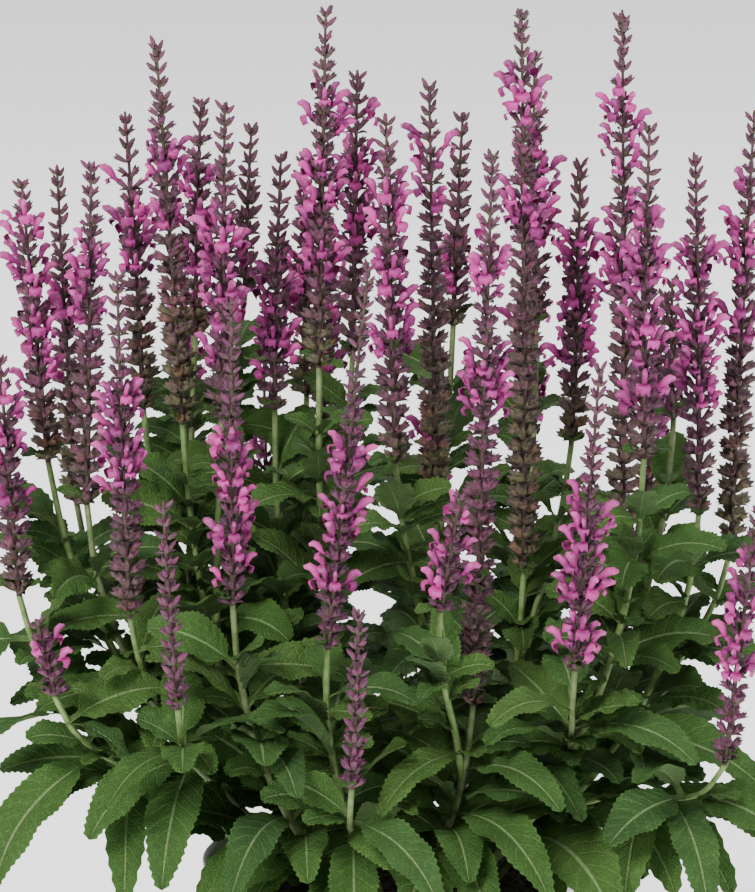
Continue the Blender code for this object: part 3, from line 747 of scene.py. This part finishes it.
def calyx_finish():
    """Dark plum when young, browning and greening as it empties; its mouth's teeth are darkest."""
    colours = bpy.context.scene.salvia_colours
    finish = Finish("salvia_calyx")
    chance, along, age = finish.mark("blade")
    patch = finish.cloud(420, 3)
    young = finish.mix(chance, tint(colours.calyx, 0.45), tint(colours.calyx, 1.6))
    grey = finish.mix(patch.above(0.35, 0.7) * 0.55, young, (0.085, 0.055, 0.06))
    root = finish.mix((1 - along.above(0.0, 0.6)) * 0.7, grey, (0.12, 0.13, 0.05))
    olive = finish.mix(patch.above(0.35, 0.65), (0.045, 0.045, 0.018), (0.12, 0.115, 0.04))
    dry = finish.mix((chance + patch).above(1.2, 1.45) * 0.6, olive, (0.2, 0.085, 0.03))
    aged = finish.mix(age * (0.7 + patch * 0.6), root, dry)
    teeth = finish.mix(along.above(0.72, 1.0) * 0.6 * (1 - age), aged, tint(colours.calyx, 0.55))
    rib = finish.cloud(1900, 1)
    down = finish.cloud(2300, 2).above(0.52, 0.68)
    finish.set(Base_Color=finish.mix(down * 0.3, teeth, (0.34, 0.24, 0.3)), Roughness=0.62 + patch * 0.15)
    finish.bump(rib, 0.6, 0.0004)
    finish.set(Sheen_Weight=0.06)
    return finish.material


def petal_finish():
    """Pink-purple, paler at the hood's edge and deeper in the throat."""
    colours = bpy.context.scene.salvia_colours
    finish = Finish("salvia_petal")
    chance, along, depth = finish.mark("blade")
    patch = finish.cloud(500, 2)
    base = finish.mix(chance, tint(colours.petal, 0.3), tint(colours.petal, 1.15))
    violet = finish.mix(patch.above(0.45, 0.7) * 0.5, base, (0.3, 0.025, 0.3))
    pale = finish.mix(along.above(0.4, 1.0) * patch.above(0.3, 0.75) * 0.7, violet, (0.78, 0.2, 0.48))
    throat = finish.mix((1 - along.above(0.0, 0.45)) * 0.7, pale, (0.28, 0.012, 0.15))
    wilt = finish.mix(depth * 0.8, throat, (0.2, 0.01, 0.12))
    finish.set(Base_Color=wilt, Roughness=0.55 + patch * 0.15)
    finish.bump(finish.cloud(1600, 1), 0.35, 0.0003)
    finish.set(Subsurface_Weight=0.15, Subsurface_Radius=(0.002, 0.001, 0.0015), Sheen_Weight=0.05)
    return finish.material


def soil_finish():
    """Dark peat with lighter lumps."""
    finish = Finish("salvia_soil")
    grain = finish.cloud(260, 6, rough=0.7)
    lump = finish.cells(340)
    dark = finish.mix(grain.above(0.3, 0.7), (0.012, 0.008, 0.006), (0.05, 0.034, 0.024))
    lumps = finish.mix(lump.above(0.5, 0.9) * 0.5, dark, (0.09, 0.06, 0.04))
    finish.set(Base_Color=lumps, Roughness=0.85 + grain * 0.1)
    finish.bump(grain + lump * 0.6, 0.9, 0.0016)
    return finish.material


def pot_finish():
    """Pale matt plastic, faintly mottled."""
    colours = bpy.context.scene.salvia_colours
    finish = Finish("salvia_pot")
    mottle = finish.cloud(18, 4)
    fine = finish.cloud(1900, 2)
    base = finish.mix(mottle.above(0.3, 0.75), tint(colours.pot, 0.93), colours.pot)
    finish.set(Base_Color=base, Roughness=0.38 + mottle * 0.14 + fine * 0.05)
    finish.bump(fine, 0.12, 0.0003)
    finish.set(Specular_IOR_Level=0.45)
    return finish.material


class Shape:
    """A small mesh to repeat: its triangles, its places, and how far along its length each place lies."""

    def __init__(self, bm, along):
        bmesh.ops.triangulate(bm, faces=bm.faces)
        bm.verts.index_update()
        self.places = np.array([v.co[:] for v in bm.verts])
        self.faces = np.array([[v.index for v in f.verts] for f in bm.faces])
        self.along = np.clip(np.array([along(v.co) for v in bm.verts]), 0, 1)
        bm.free()


class Gathered:
    """Many placed copies of small shapes, kept together as one mesh."""

    def __init__(self, materials):
        self.materials = materials
        self.places = []
        self.faces = []
        self.marks = []
        self.slots = []
        self.count = 0

    def add(self, shape, places, marks, slot):
        """Adds one copy with its own places and marks; the slot picks its material."""
        self.places.append(places)
        self.faces.append(shape.faces + self.count)
        self.marks.append(np.column_stack([np.broadcast_to(mark, len(places)) for mark in marks]))
        self.slots.append(np.full(len(shape.faces), slot))
        self.count += len(places)

    def put(self, shape, matrix, chance, age, slot):
        """Adds a copy turned and moved by the matrix."""
        turn = np.array(matrix.to_3x3())
        places = shape.places @ turn.T + np.array(matrix.translation)
        self.add(shape, places, (chance, shape.along, age), slot)

    def tube(self, line, radius, sides, flush, corner):
        """Adds a stem along a line, extruded from ring to ring; corner squares its section."""
        bm = bmesh.new()
        sections = []
        for i, point in enumerate(line):
            along = (line[min(i + 1, len(line) - 1)] - line[max(i - 1, 0)]).normalized()
            across = along.cross(Vector((0.3, -0.95, 0.1))).normalized()
            other = along.cross(across)
            reach = radius(i / (len(line) - 1))
            ring = []
            for k in range(sides):
                angle = math.tau * k / sides
                bulge = 1 + corner * math.cos(4 * angle)
                ring.append(point + (across * math.cos(angle) + other * math.sin(angle)) * reach * bulge)
            sections.append(ring)
        loft(bm, sections)
        shape = Shape(bm, lambda co: 0.5)
        self.add(shape, shape.places, (0.5, shape.along, flush), STEM_SLOT)

    def piece(self, name):
        """The finished piece, pressed back inside the CAD's box where it would leave it."""
        mesh = bpy.data.meshes.new(name)
        places = np.concatenate(self.places) * MM
        low, high = (np.array(corner) for corner in CAD_BOX)
        places = np.clip(places, low + BOX_INSET, high - BOX_INSET)
        mesh.from_pydata(places, [], np.concatenate(self.faces))
        mark = mesh.attributes.new("blade", "FLOAT_VECTOR", "POINT")
        mark.data.foreach_set("vector", np.concatenate(self.marks).astype(np.float32).ravel())
        for material in self.materials:
            mesh.materials.append(material)
        mesh.polygons.foreach_set("material_index", np.concatenate(self.slots))
        mesh.shade_smooth()
        made = bpy.data.objects.new(name, mesh)
        bpy.context.scene.collection.objects.link(made)
        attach(made, "root")
        return made


def grown(bm, face, keep):
    """Extrudes a face and gives the new end; the old face stays only where it closes the piece."""
    made = bmesh.ops.extrude_face_region(bm, geom=[face])["geom"]
    if not keep:
        bmesh.ops.delete(bm, geom=[face], context="FACES_ONLY")
    return next(g for g in made if isinstance(g, bmesh.types.BMFace))


def loft(bm, sections):
    """Extrudes a section through others, closed at both ends."""
    first = bmesh.ops.create_circle(bm, cap_ends=True, segments=len(sections[0]), radius=1)["verts"]
    face = first[0].link_faces[0]
    for vert, place in zip(face.verts, sections[0]):
        vert.co = place
    for number, section in enumerate(sections[1:]):
        face = grown(bm, face, keep=number == 0)
        for vert, place in zip(face.verts, section):
            vert.co = place
    bmesh.ops.recalc_face_normals(bm, faces=bm.faces)


def calyx_shape():
    """A ribbed bell one unit long on +Z with five pointed teeth round a hollow mouth."""
    bm = bmesh.new()
    verts = bmesh.ops.create_circle(bm, cap_ends=True, segments=10, radius=0.07)["verts"]
    face = verts[0].link_faces[0]
    for height, radius in ((0.2, 0.19), (0.52, 0.25), (0.8, 0.3)):
        face = grown(bm, face, keep=height == 0.2)
        for k, vert in enumerate(face.verts):
            flat = Vector((vert.co.x, vert.co.y)).normalized() * radius
            tooth = height > 0.6 and k % 2
            flat *= 1.12 if tooth else 1.0
            vert.co = (flat.x, flat.y * 0.9, height + (0.26 if tooth else 0))
    for vert in grown(bm, face, keep=False).verts:
        vert.co = (vert.co.x * 0.55, vert.co.y * 0.55, 0.62)
    bmesh.ops.recalc_face_normals(bm, faces=bm.faces)
    return Shape(bm, lambda co: co.z)


def bud_shape():
    """A closed young calyx one unit long on +Z, drawn to a point."""
    bm = bmesh.new()
    bmesh.ops.create_uvsphere(bm, u_segments=6, v_segments=5, radius=0.5)
    for vert in bm.verts:
        z = vert.co.z + 0.5
        slim = 0.62 * (1 - 0.45 * z)
        vert.co = (vert.co.x * slim, vert.co.y * slim, z * 1.05)
    return Shape(bm, lambda co: co.z)


def bract_shape():
    """A small pointed leaf one unit long on +Z, hollowed towards the stem on -Y."""
    bm = bmesh.new()
    bmesh.ops.create_grid(bm, x_segments=2, y_segments=4, size=0.5)
    for vert in bm.verts:
        z = vert.co.y + 0.5
        x = vert.co.x * 0.95 * math.sin(math.pi * min(1, 0.12 + z * 0.88)) ** 0.8
        vert.co = (x, abs(x) * -0.5 + 0.25 * z * z, z)
    return Shape(bm, lambda co: co.z)


def corolla_shape(gape):
    """A two-lipped flower on +Z: a tube, a sickle-shaped hood on +Y and a broad drooping lip on -Y."""
    bm = bmesh.new()
    centre = Vector((0, 0, 0))
    side = Vector((1, 0, 0))
    hood = []
    for step, heading, wide, deep in (
        (0.0, 0, 0.045, 0.055),
        (0.36, 0, 0.07, 0.08),
        (0.17, 30, 0.08, 0.12),
        (0.18, 22, 0.088, 0.15),
        (0.17, -14, 0.078, 0.135),
        (0.14, -52, 0.035, 0.06),
    ):
        angle = math.radians(heading * gape)
        ahead = Vector((0, math.sin(angle), math.cos(angle)))
        centre = centre + ahead * step
        over = ahead.cross(side)
        ring = []
        for k in range(6):
            turn = math.tau * k / 6
            ring.append(centre + side * math.cos(turn) * wide + over * math.sin(turn) * deep)
        hood.append(ring)
    loft(bm, hood)
    lip = bmesh.ops.create_grid(bm, x_segments=4, y_segments=4, size=0.5)["verts"]
    for vert in lip:
        t = vert.co.y + 0.5
        s = vert.co.x * 2
        wide = 0.07 + 0.16 * math.sin(math.pi * min(1, 0.1 + 0.62 * t))
        out = 0.05 + 0.3 * math.sin(0.5 * math.pi * t) * (0.4 + 0.6 * gape)
        rise = 0.36 + 0.3 * math.sin(math.pi * 0.7 * t) - 0.3 * t * t * gape
        notch = 0.06 * (t > 0.9) * math.cos(2 * math.pi * s)
        vert.co = (s * wide, -out - notch + 0.08 * s * s, rise - 0.12 * s * s * t)
    return Shape(bm, lambda co: math.hypot(co.y, co.z) * 0.95)


def facing(root, out, up, scale, spin=0.0):
    """A placing whose +Z runs along out and whose +Y leans towards up."""
    z = out.normalized()
    y = (up - z * up.dot(z)).normalized()
    x = y.cross(z)
    turn = Matrix((x, y, z)).transposed().to_4x4()
    return Matrix.Translation(root) @ turn @ Matrix.Rotation(spin, 4, "Z") @ Matrix.Diagonal((*scale, 1))


def flower_spike(number, spike, line, shapes, finishes):
    """One spike: its stem, and ring on ring of calyces, bracts, buds and open flowers."""
    sizes = bpy.context.scene.salvia_sizes
    chance = random.Random(number * 7 + 1)
    whole = Gathered(finishes)
    length = sum((b - a).length for a, b in zip(line, line[1:]))
    flush = chance.uniform(0.85, 1.0)
    whole.tube(line, lambda t: 1.2 - 0.7 * t, 8, flush, 0.12)
    at = 1.5
    turn = chance.uniform(0, math.tau)
    foot_leaves(whole, line, shapes["small_leaf"], turn, chance)
    young = spike.kind == "young"
    while at < length - 0.5:
        share = at / length
        centre, along = along_line(line, share)
        across = along.orthogonal().normalized()
        size = 1.0 - 0.36 * max(0.0, share - 0.4) / 0.6 if not young else 0.9 - 0.3 * share
        size *= 0.75 + 0.25 * min(1.0, share / 0.08)
        low, high = spike.bloom
        open_here = low <= share <= high
        past = max(0.0, (low - share) / max(low, 0.12)) if share < low else 0.0
        age = past * {"old": 1.0, "mid": 0.55, "young": 0.1}[spike.kind]
        age += 0.12 if spike.kind == "old" else 0
        age = min(1.0, age * chance.uniform(0.7, 1.25))
        tip_end = share > 0.9
        count = 6 if share < 0.72 else 4
        for k in range(count):
            angle = turn + math.tau * k / count + chance.uniform(-0.2, 0.2)
            out = Matrix.Rotation(angle, 3, along) @ across
            lean = math.radians(chance.uniform(28, 60) if not tip_end else chance.uniform(26, 44))
            if share < low:
                lean += math.radians(10)
            aim = out * math.sin(lean) + along * math.cos(lean)
            root = centre + out * 0.8 + along * chance.uniform(-1.1, 1.1)
            scale = sizes.calyx_length * size * chance.uniform(0.85, 1.12)
            kind = shapes["bud"] if share > min(0.9, high + 0.1) else shapes["calyx"]
            wide = scale * (0.8 + 0.22 * age)
            placing = facing(root, aim, along, (wide, wide, scale), chance.uniform(-0.3, 0.3))
            whole.put(kind, placing, chance.random(), age, CALYX_SLOT)
            if open_here and chance.random() < 0.5 + 0.35 * math.sin(share * 31 + number * 2.3):
                mouth = root + aim * scale * 0.45
                reach = sizes.corolla_length * chance.uniform(0.8, 1.2) * (0.8 + 0.2 * size)
                flare = aim + out * chance.uniform(-0.2, 0.35)
                flower = shapes["open"] if chance.random() < 0.7 else shapes["half"]
                depth = chance.random() ** 3
                placing = facing(mouth, flare, along, (reach,) * 3, chance.uniform(-0.25, 0.25))
                whole.put(flower, placing, chance.random(), depth, PETAL_SLOT)
        for k in range(2):
            angle = turn + math.pi * k + math.pi / 2
            out = Matrix.Rotation(angle, 3, along) @ across
            lean = math.radians(70 if share < 0.85 else 40)
            aim = out * math.sin(lean) + along * math.cos(lean)
            scale = sizes.calyx_length * size * (0.8 if share < 0.85 else 0.9)
            placing = facing(centre + out * 0.7 - along * 0.8, aim, -along, (scale * 0.7, scale, scale))
            whole.put(shapes["bract"], placing, chance.random(), age * 0.8, CALYX_SLOT)
        turn += math.radians(47) + chance.uniform(-0.1, 0.1)
        at += sizes.whorl_step * (0.78 + 0.3 * size) * (0.85 if share > 0.92 else 1.0)
    piece = whole.piece(f"spike_{number:02d}")
    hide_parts(f"flower_spike_{number:02d}")


def foot_leaves(whole, line, grid, turn, chance):
    """Three small leaves under a spike's lowest whorl."""
    for k in range(3):
        heading = turn + math.pi * k + (0.4 if k > 1 else 0)
        length = chance.uniform(11, 17) if k < 2 else chance.uniform(7, 10)
        leaf = Leaf(
            0,
            line[0] + UP * (0.6 + k * 0.8),
            heading,
            chance.uniform(0.5, 1.0),
            chance.uniform(0.6, 1.3),
            length,
            length * chance.uniform(0.42, 0.52),
            0.4 * math.cos(heading),
        )
        put_leaf(whole, grid, leaf, chance, SPIKE_LEAF_SLOT)


def along_line(line, share):
    """The point at a share of the line's length, and the line's direction there."""
    at = min(max(share, 0), 1) * (len(line) - 1)
    i = min(int(at), len(line) - 2)
    return line[i].lerp(line[i + 1], at - i), (line[i + 1] - line[i]).normalized()


def smoothed(line):
    """The line with its corners eased twice, its ends kept."""
    for _ in range(2):
        line = [line[0], *((a + 2 * b + c) / 4 for a, b, c in zip(line, line[1:], line[2:])), line[-1]]
    return line


def blade_grid(across, along):
    """A flat grid to bend into leaves: across -1 to 1, along 0 to 1."""
    bm = bmesh.new()
    bmesh.ops.create_grid(bm, x_segments=across, y_segments=along, size=1)
    for vert in bm.verts:
        vert.co = (vert.co.x, (vert.co.y + 1) / 2, 0)
    bmesh.ops.reverse_faces(bm, faces=bm.faces)
    return Shape(bm, lambda co: co.y)


def put_leaf(whole, grid, leaf, chance, slot):
    """Bends the grid into one leaf with a toothed, waved edge and puckers between its veins."""
    pucker = bpy.context.scene.salvia_sizes.leaf_pucker
    count = len(np.unique(np.round(grid.places[:, 1], 4))) - 1
    stations = midrib(leaf, RIB_STEPS)
    phase = chance.uniform(0, 6)
    waves = chance.uniform(2.0, 3.4)
    twist = chance.uniform(-0.3, 0.3)
    tone = chance.random()
    u = grid.places[:, 0]
    v = grid.places[:, 1]
    at = v * RIB_STEPS
    i = np.minimum(at.astype(int), RIB_STEPS - 1)
    f = (at - i)[:, None]
    held = (np.array([station[k][:] for station in stations]) for k in range(3))
    centre, along, across = (rows[i] * (1 - f) + rows[i + 1] * f for rows in held)
    over = np.cross(along, across)
    over = np.where(over[:, 2:3] > 0, over, -over)
    half = np.array([half_width(leaf, s) if s < 0.995 else 0.15 for s in np.round(v, 4)])
    step = np.round(v * count).astype(int)
    tooth = np.where(step % 2 == 1, 1.0, 0.0) * (v > 0.2)
    edge = np.abs(u) > 0.99
    size = min(1.0, leaf.width / 16)
    wide = half * (1 + 0.03 * np.sin(v * 23 + phase)) + np.where(edge, tooth * 0.9 * size, 0)
    blade = np.clip((v - STALK_SHARE) / 0.12, 0, 1)
    between = 0.5 - 0.5 * np.cos(math.tau * (v * VEINS - np.abs(u) * VEIN_SLANT + 0.7))
    swell = between * np.sin(math.pi * np.clip(np.abs(u), 0, 1))
    rise = np.abs(u) * half * 0.22 + blade * pucker * swell * size * 1.6
    rise += blade * np.sin(v * math.tau * waves + phase + (u > 0) * 1.3) * np.abs(u) ** 2 * half * 0.16
    rise += twist * u * half * v
    rise += np.where(np.abs(u) < 0.05, -0.35 * blade, 0)
    places = centre + across * (u * wide)[:, None] + over * rise[:, None]
    whole.add(grid, places, (u * 0.5 + 0.5, v, tone), slot)


def filling_leaves(lines, stalks, leaves):
    """Smaller leaves between the large ones, wherever the mound leaves them room."""
    crowd = Crowd(lines)
    for leaf in leaves:
        crowd.add(leaf.stem, leaf_samples(leaf))
    placed = []
    for across, up, depth, width in COVER_LEAVES:
        tip = from_view(across, up, depth)
        wanted = 24 + 2.3 * width
        near = [(stalk.stem, p) for stalk in stalks for p in stalk.line[1:-4]]
        stem, root = min(near, key=lambda found: misfit(found[1], tip, wanted))
        leaf = leaf_between(stem, root, tip, width)
        crowd.add(leaf.stem, leaf_samples(leaf))
        placed.append(leaf)
    chance = random.Random(77)
    for stalk in stalks:
        for i in range(2, len(stalk.line) - 3):
            root = stalk.line[i]
            height = min(1.0, max(0.0, (root.z - SOIL_TOP) / MOUND_HEIGHT))
            for _ in range(9):
                heading = chance.uniform(0, math.tau)
                length = chance.uniform(26, 52) - 12 * height
                leaf = Leaf(
                    stalk.stem,
                    root.copy(),
                    heading,
                    chance.uniform(0.3, 1.1),
                    chance.uniform(0.3, 1.2),
                    length,
                    length * chance.uniform(0.4, 0.52),
                    LEAF_ROLL * math.cos(heading) + chance.uniform(-0.3, 0.3),
                )
                points = leaf_samples(leaf)
                if crowd.lets_in(leaf, points, FILL_CLEARANCE):
                    crowd.add(leaf.stem, points)
                    placed.append(leaf)
    return placed


def stem_radius(low, start, share):
    """A stem's radius at a share of its length, from low at its foot, which begins at start times that."""
    return (low + (STEM_RADIUS_HIGH - low) * share) * 0.9 * min(1.0, start + 8 * share)


def leafy_stem(number, stalks, leaves, fill, grids, finishes):
    """One leafy stem: its stalk, side shoots and leaves."""
    chance = random.Random(number * 13 + 5)
    whole = Gathered(finishes)
    for stalk in (s for s in stalks if s.stem == number):
        line = list(stalk.line)
        low = STEM_RADIUS_LOW if stalk.main else STEM_RADIUS_HIGH + 0.35
        if stalk.main:
            line = [line[0] - UP * 8, line[0] - UP * 4, *line]
        flush = chance.choice((0.0, 0.0, 0.12, 0.3))
        sink = 1.0 if stalk.main else 0.35
        whole.tube(smoothed(line), partial(stem_radius, low, sink), 12, flush, 0.1)
    for grid, group in zip(grids, (leaves, fill)):
        for leaf in (found for found in group if found.stem == number):
            put_leaf(whole, grid, leaf, chance, STEM_LEAF_SLOT)
    piece = whole.piece(f"leafy_growth_{number:02d}")
    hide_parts(f"leafy_stem_{number:02d}")


class SALVIA_OT_flower_spikes(bpy.types.Operator):
    """Makes every flower spike"""

    bl_idname = "salvia.flower_spikes"
    bl_label = "Flower spikes"

    def execute(self, context):
        shapes = {
            "calyx": calyx_shape(),
            "bud": bud_shape(),
            "bract": bract_shape(),
            "open": corolla_shape(1.0),
            "half": corolla_shape(0.55),
            "small_leaf": blade_grid(*FOOT_GRID),
        }
        finishes = [stem_finish(), calyx_finish(), petal_finish(), leaf_finish()]
        for number, (spike, line) in enumerate(zip(SPIKES, spike_lines()), 1):
            flower_spike(number, spike, line, shapes, finishes)
        return {"FINISHED"}


class SALVIA_OT_leafy_stems(bpy.types.Operator):
    """Makes every leafy stem with its leaves"""

    bl_idname = "salvia.leafy_stems"
    bl_label = "Leafy stems"

    def execute(self, context):
        lines = spike_lines()
        stalks = stalks_of(lines)
        leaves = place_leaves(lines, stalks)
        grids = (blade_grid(*LEAF_GRID), blade_grid(*FILL_GRID))
        fill = filling_leaves(lines, stalks, leaves)
        finishes = [stem_finish(), leaf_finish()]
        for number in range(1, STEM_COUNT + 1):
            leafy_stem(number, stalks, leaves, fill, grids, finishes)
        return {"FINISHED"}


def turned(profile, steps):
    """A profile of (radius, height) points in mm spun round the Z axis into one closed piece."""
    bm = bmesh.new()
    verts = [bm.verts.new((radius * MM, 0, height * MM)) for radius, height in profile]
    edges = [bm.edges.new(pair) for pair in zip(verts, verts[1:])]
    spun = {"cent": (0, 0, 0), "axis": (0, 0, 1), "angle": math.tau, "steps": steps, "use_merge": True}
    bmesh.ops.spin(bm, geom=verts + edges, **spun)
    bmesh.ops.remove_doubles(bm, verts=bm.verts, dist=0.00001)
    bmesh.ops.recalc_face_normals(bm, faces=bm.faces)
    return bm


def finished(name, bm, material, smooth=True):
    """The mesh as a piece with one material."""
    mesh = bpy.data.meshes.new(name)
    bm.to_mesh(mesh)
    bm.free()
    mesh.materials.append(material)
    if smooth:
        mesh.shade_smooth()
    made = bpy.data.objects.new(name, mesh)
    bpy.context.scene.collection.objects.link(made)
    return made


class SALVIA_OT_pot(bpy.types.Operator):
    """Makes the nursery pot with its rounded rim and drain holes"""

    bl_idname = "salvia.pot"
    bl_label = "Pot"

    def execute(self, context):
        band = POT_HEIGHT - POT_BAND
        rim = POT_RIM_RADIUS
        profile = (
            (0, 3 + POT_WALL),
            (wall_radius(3) - POT_WALL, 3 + POT_WALL),
            (wall_radius(band) - POT_WALL, band),
            (rim - POT_WALL - 0.6, POT_HEIGHT - 1.6),
            (rim - POT_WALL, POT_HEIGHT - 0.5),
            (rim - POT_WALL * 0.6, POT_HEIGHT),
            (rim - 0.5, POT_HEIGHT - 0.1),
            (rim, POT_HEIGHT - 0.8),
            (rim - 0.1, POT_HEIGHT - 3.4),
            (rim - 0.7, POT_HEIGHT - 4.0),
            (rim - 1, band + 0.6),
            (rim - 1.4, band),
            (wall_radius(band) + 0.1, band - 0.5),
            (wall_radius(90), 90),
            (wall_radius(40), 40),
            (wall_radius(1.5), 1.5),
            (wall_radius(0) - 0.4, 0.3),
            (wall_radius(0) - 1.2, 0),
            (0, 0),
        )
        pot = finished("nursery_pot", turned(profile, 120), pot_finish())
        holes = bmesh.new()
        reach = POT_FOOT_RADIUS * 0.68 * MM
        drain = {"radius1": DRAIN_RADIUS * MM, "radius2": DRAIN_RADIUS * MM, "depth": 0.02}
        for i in range(DRAIN_HOLES):
            angle = math.tau * i / DRAIN_HOLES
            spot = Matrix.Translation((reach * math.cos(angle), reach * math.sin(angle), 0.004))
            bmesh.ops.create_cone(holes, cap_ends=True, segments=32, matrix=spot, **drain)
        drains = finished("drains", holes, pot.data.materials[0])
        cut = pot.modifiers.new("drains", "BOOLEAN")
        cut.operation = "DIFFERENCE"
        cut.object = drains
        context.view_layer.update()
        mesh = bpy.data.meshes.new_from_object(pot.evaluated_get(context.evaluated_depsgraph_get()))
        pot.modifiers.clear()
        pot.data = mesh
        bpy.data.objects.remove(drains)
        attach(pot, "root")
        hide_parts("pot")
        return {"FINISHED"}


class SALVIA_OT_soil(bpy.types.Operator):
    """Makes the soil with its crumbs"""

    bl_idname = "salvia.soil"
    bl_label = "Soil"

    def execute(self, context):
        chance = random.Random(21)
        inside = POT_WALL + FIT_GAP + 0.4
        top = POT_RIM_RADIUS - 3.4 - inside
        profile = [(0, SOIL_TOP - 0.5)]
        rings = 26
        for i in range(1, rings):
            radius = top * i / rings
            profile.append((radius, SOIL_TOP - 0.5 - SOIL_DOME * (radius / top) ** 3))
        profile += [(top, SOIL_TOP - SOIL_DOME - 0.8), (wall_radius(100) - inside, 100), (0, 100)]
        bm = turned(profile, 96)
        for vert in bm.verts:
            if vert.co.z > 0.13 and math.hypot(vert.co.x, vert.co.y) < top * MM * 0.97:
                vert.co.z += noise.noise(vert.co * 190) * 0.0011 - 0.0006
        soil = finished("soil_bed", bm, soil_finish())
        crumbs = bmesh.new()
        for _ in range(900):
            radius = top * math.sqrt(chance.random()) * 0.94
            angle = chance.uniform(0, math.tau)
            size = chance.uniform(0.5, 1.6)
            height = SOIL_TOP - 0.9 - SOIL_DOME * (radius / top) ** 3
            spot = Vector((radius * math.cos(angle), radius * math.sin(angle), height))
            matrix = Matrix.Translation(spot * MM) @ Matrix.Rotation(chance.uniform(0, 6), 4, "X")
            matrix @= Matrix.Diagonal((size * MM, size * 0.8 * MM, size * 0.6 * MM, 1))
            bmesh.ops.create_icosphere(crumbs, subdivisions=1, radius=1, matrix=matrix)
        loose = finished("soil_crumbs", crumbs, soil.data.materials[0], smooth=False)
        for piece in (soil, loose):
            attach(piece, "root")
        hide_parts("soil")
        return {"FINISHED"}


class SALVIA_OT_studio(bpy.types.Operator):
    """Lays the pale floor and sets the lights and the camera"""

    bl_idname = "salvia.studio"
    bl_label = "Studio"

    def execute(self, context):
        scene = context.scene
        bm = bmesh.new()
        bmesh.ops.create_circle(bm, cap_ends=True, segments=64, radius=14)
        finish = Finish("salvia_floor")
        grain = finish.cloud(3, 2)
        finish.set(Base_Color=finish.mix(grain, (0.9, 0.9, 0.9), (0.94, 0.94, 0.94)), Roughness=0.8)
        finish.set(Emission_Color=(1, 1, 1), Emission_Strength=0.9)
        floor = finished("floor", bm, finish.material)
        for name, place, size, power, shade in (
            ("key", (-1.4, -2.2, 2.4), 1.4, 130, (1, 0.98, 0.96)),
            ("fill", (1.9, -1.9, 1.5), 1.8, 42, (0.96, 0.98, 1)),
            ("back", (0.2, 1.8, 2.4), 1.8, 60, (1, 1, 1)),
        ):
            light = bpy.data.lights.new(name, "AREA")
            light.size = size
            light.energy = power
            light.color = shade
            lamp = bpy.data.objects.new(name, light)
            scene.collection.objects.link(lamp)
            lamp.location = place
            lamp.rotation_euler = (Vector((0, 0, 0.3)) - lamp.location).to_track_quat("-Z", "Y").to_euler()
        world = bpy.data.worlds.new("studio")
        world.use_nodes = True
        light = world.node_tree.nodes["Background"].inputs
        light["Color"].default_value = (1, 1, 1, 1)
        light["Strength"].default_value = 0.33
        scene.world = world
        aim_height = VIEW_BASE_HEIGHT + (VIEW_BASE_ROW - VIEW_HEIGHT / 2) * VIEW_RISE_PER_ROW
        aim = Vector(((VIEW_WIDTH / 2 - VIEW_AXIS_COLUMN) * (VIEW_SCALE * MM), 0, aim_height * MM))
        camera = bpy.data.cameras.new("camera")
        camera.sensor_width = SENSOR_WIDTH
        camera.lens = SENSOR_WIDTH * CAMERA_DISTANCE / (VIEW_HEIGHT * (VIEW_SCALE * MM))
        eye = bpy.data.objects.new("camera", camera)
        scene.collection.objects.link(eye)
        eye.location = aim + Vector((0, -math.cos(CAMERA_TILT), math.sin(CAMERA_TILT))) * CAMERA_DISTANCE
        eye.rotation_euler = (math.pi / 2 - CAMERA_TILT, 0, 0)
        scene.camera = eye
        return {"FINISHED"}


class SALVIA_PT_sidebar(bpy.types.Panel):
    """The plant's sizes, colours and steps in the sidebar"""

    bl_label = "Salvia"
    bl_idname = "SALVIA_PT_sidebar"
    bl_space_type = "VIEW_3D"
    bl_region_type = "UI"
    bl_category = "Salvia"

    def draw(self, context):
        for group in (context.scene.salvia_sizes, context.scene.salvia_colours):
            for name in group.bl_rna.properties.keys():
                if name not in ("rna_type", "name"):
                    self.layout.prop(group, name)
        for operator in OPERATORS:
            self.layout.operator(operator.bl_idname)


OPERATORS = (
    SALVIA_OT_studio,
    SALVIA_OT_flower_spikes,
    SALVIA_OT_leafy_stems,
    SALVIA_OT_pot,
    SALVIA_OT_soil,
)
CLASSES = (SalviaSizes, SalviaColours, *OPERATORS, SALVIA_PT_sidebar)


def register():
    for found in CLASSES:
        bpy.utils.register_class(found)
    bpy.types.Scene.salvia_sizes = bpy.props.PointerProperty(type=SalviaSizes)
    bpy.types.Scene.salvia_colours = bpy.props.PointerProperty(type=SalviaColours)


def unregister():
    del bpy.types.Scene.salvia_colours
    del bpy.types.Scene.salvia_sizes
    for found in reversed(CLASSES):
        bpy.utils.unregister_class(found)


def main():
    register()
    bpy.ops.salvia.studio()
    bpy.ops.salvia.flower_spikes()
    bpy.ops.salvia.leafy_stems()
    bpy.ops.salvia.pot()
    bpy.ops.salvia.soil()
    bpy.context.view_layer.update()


if __name__ == "__main__":
    main()
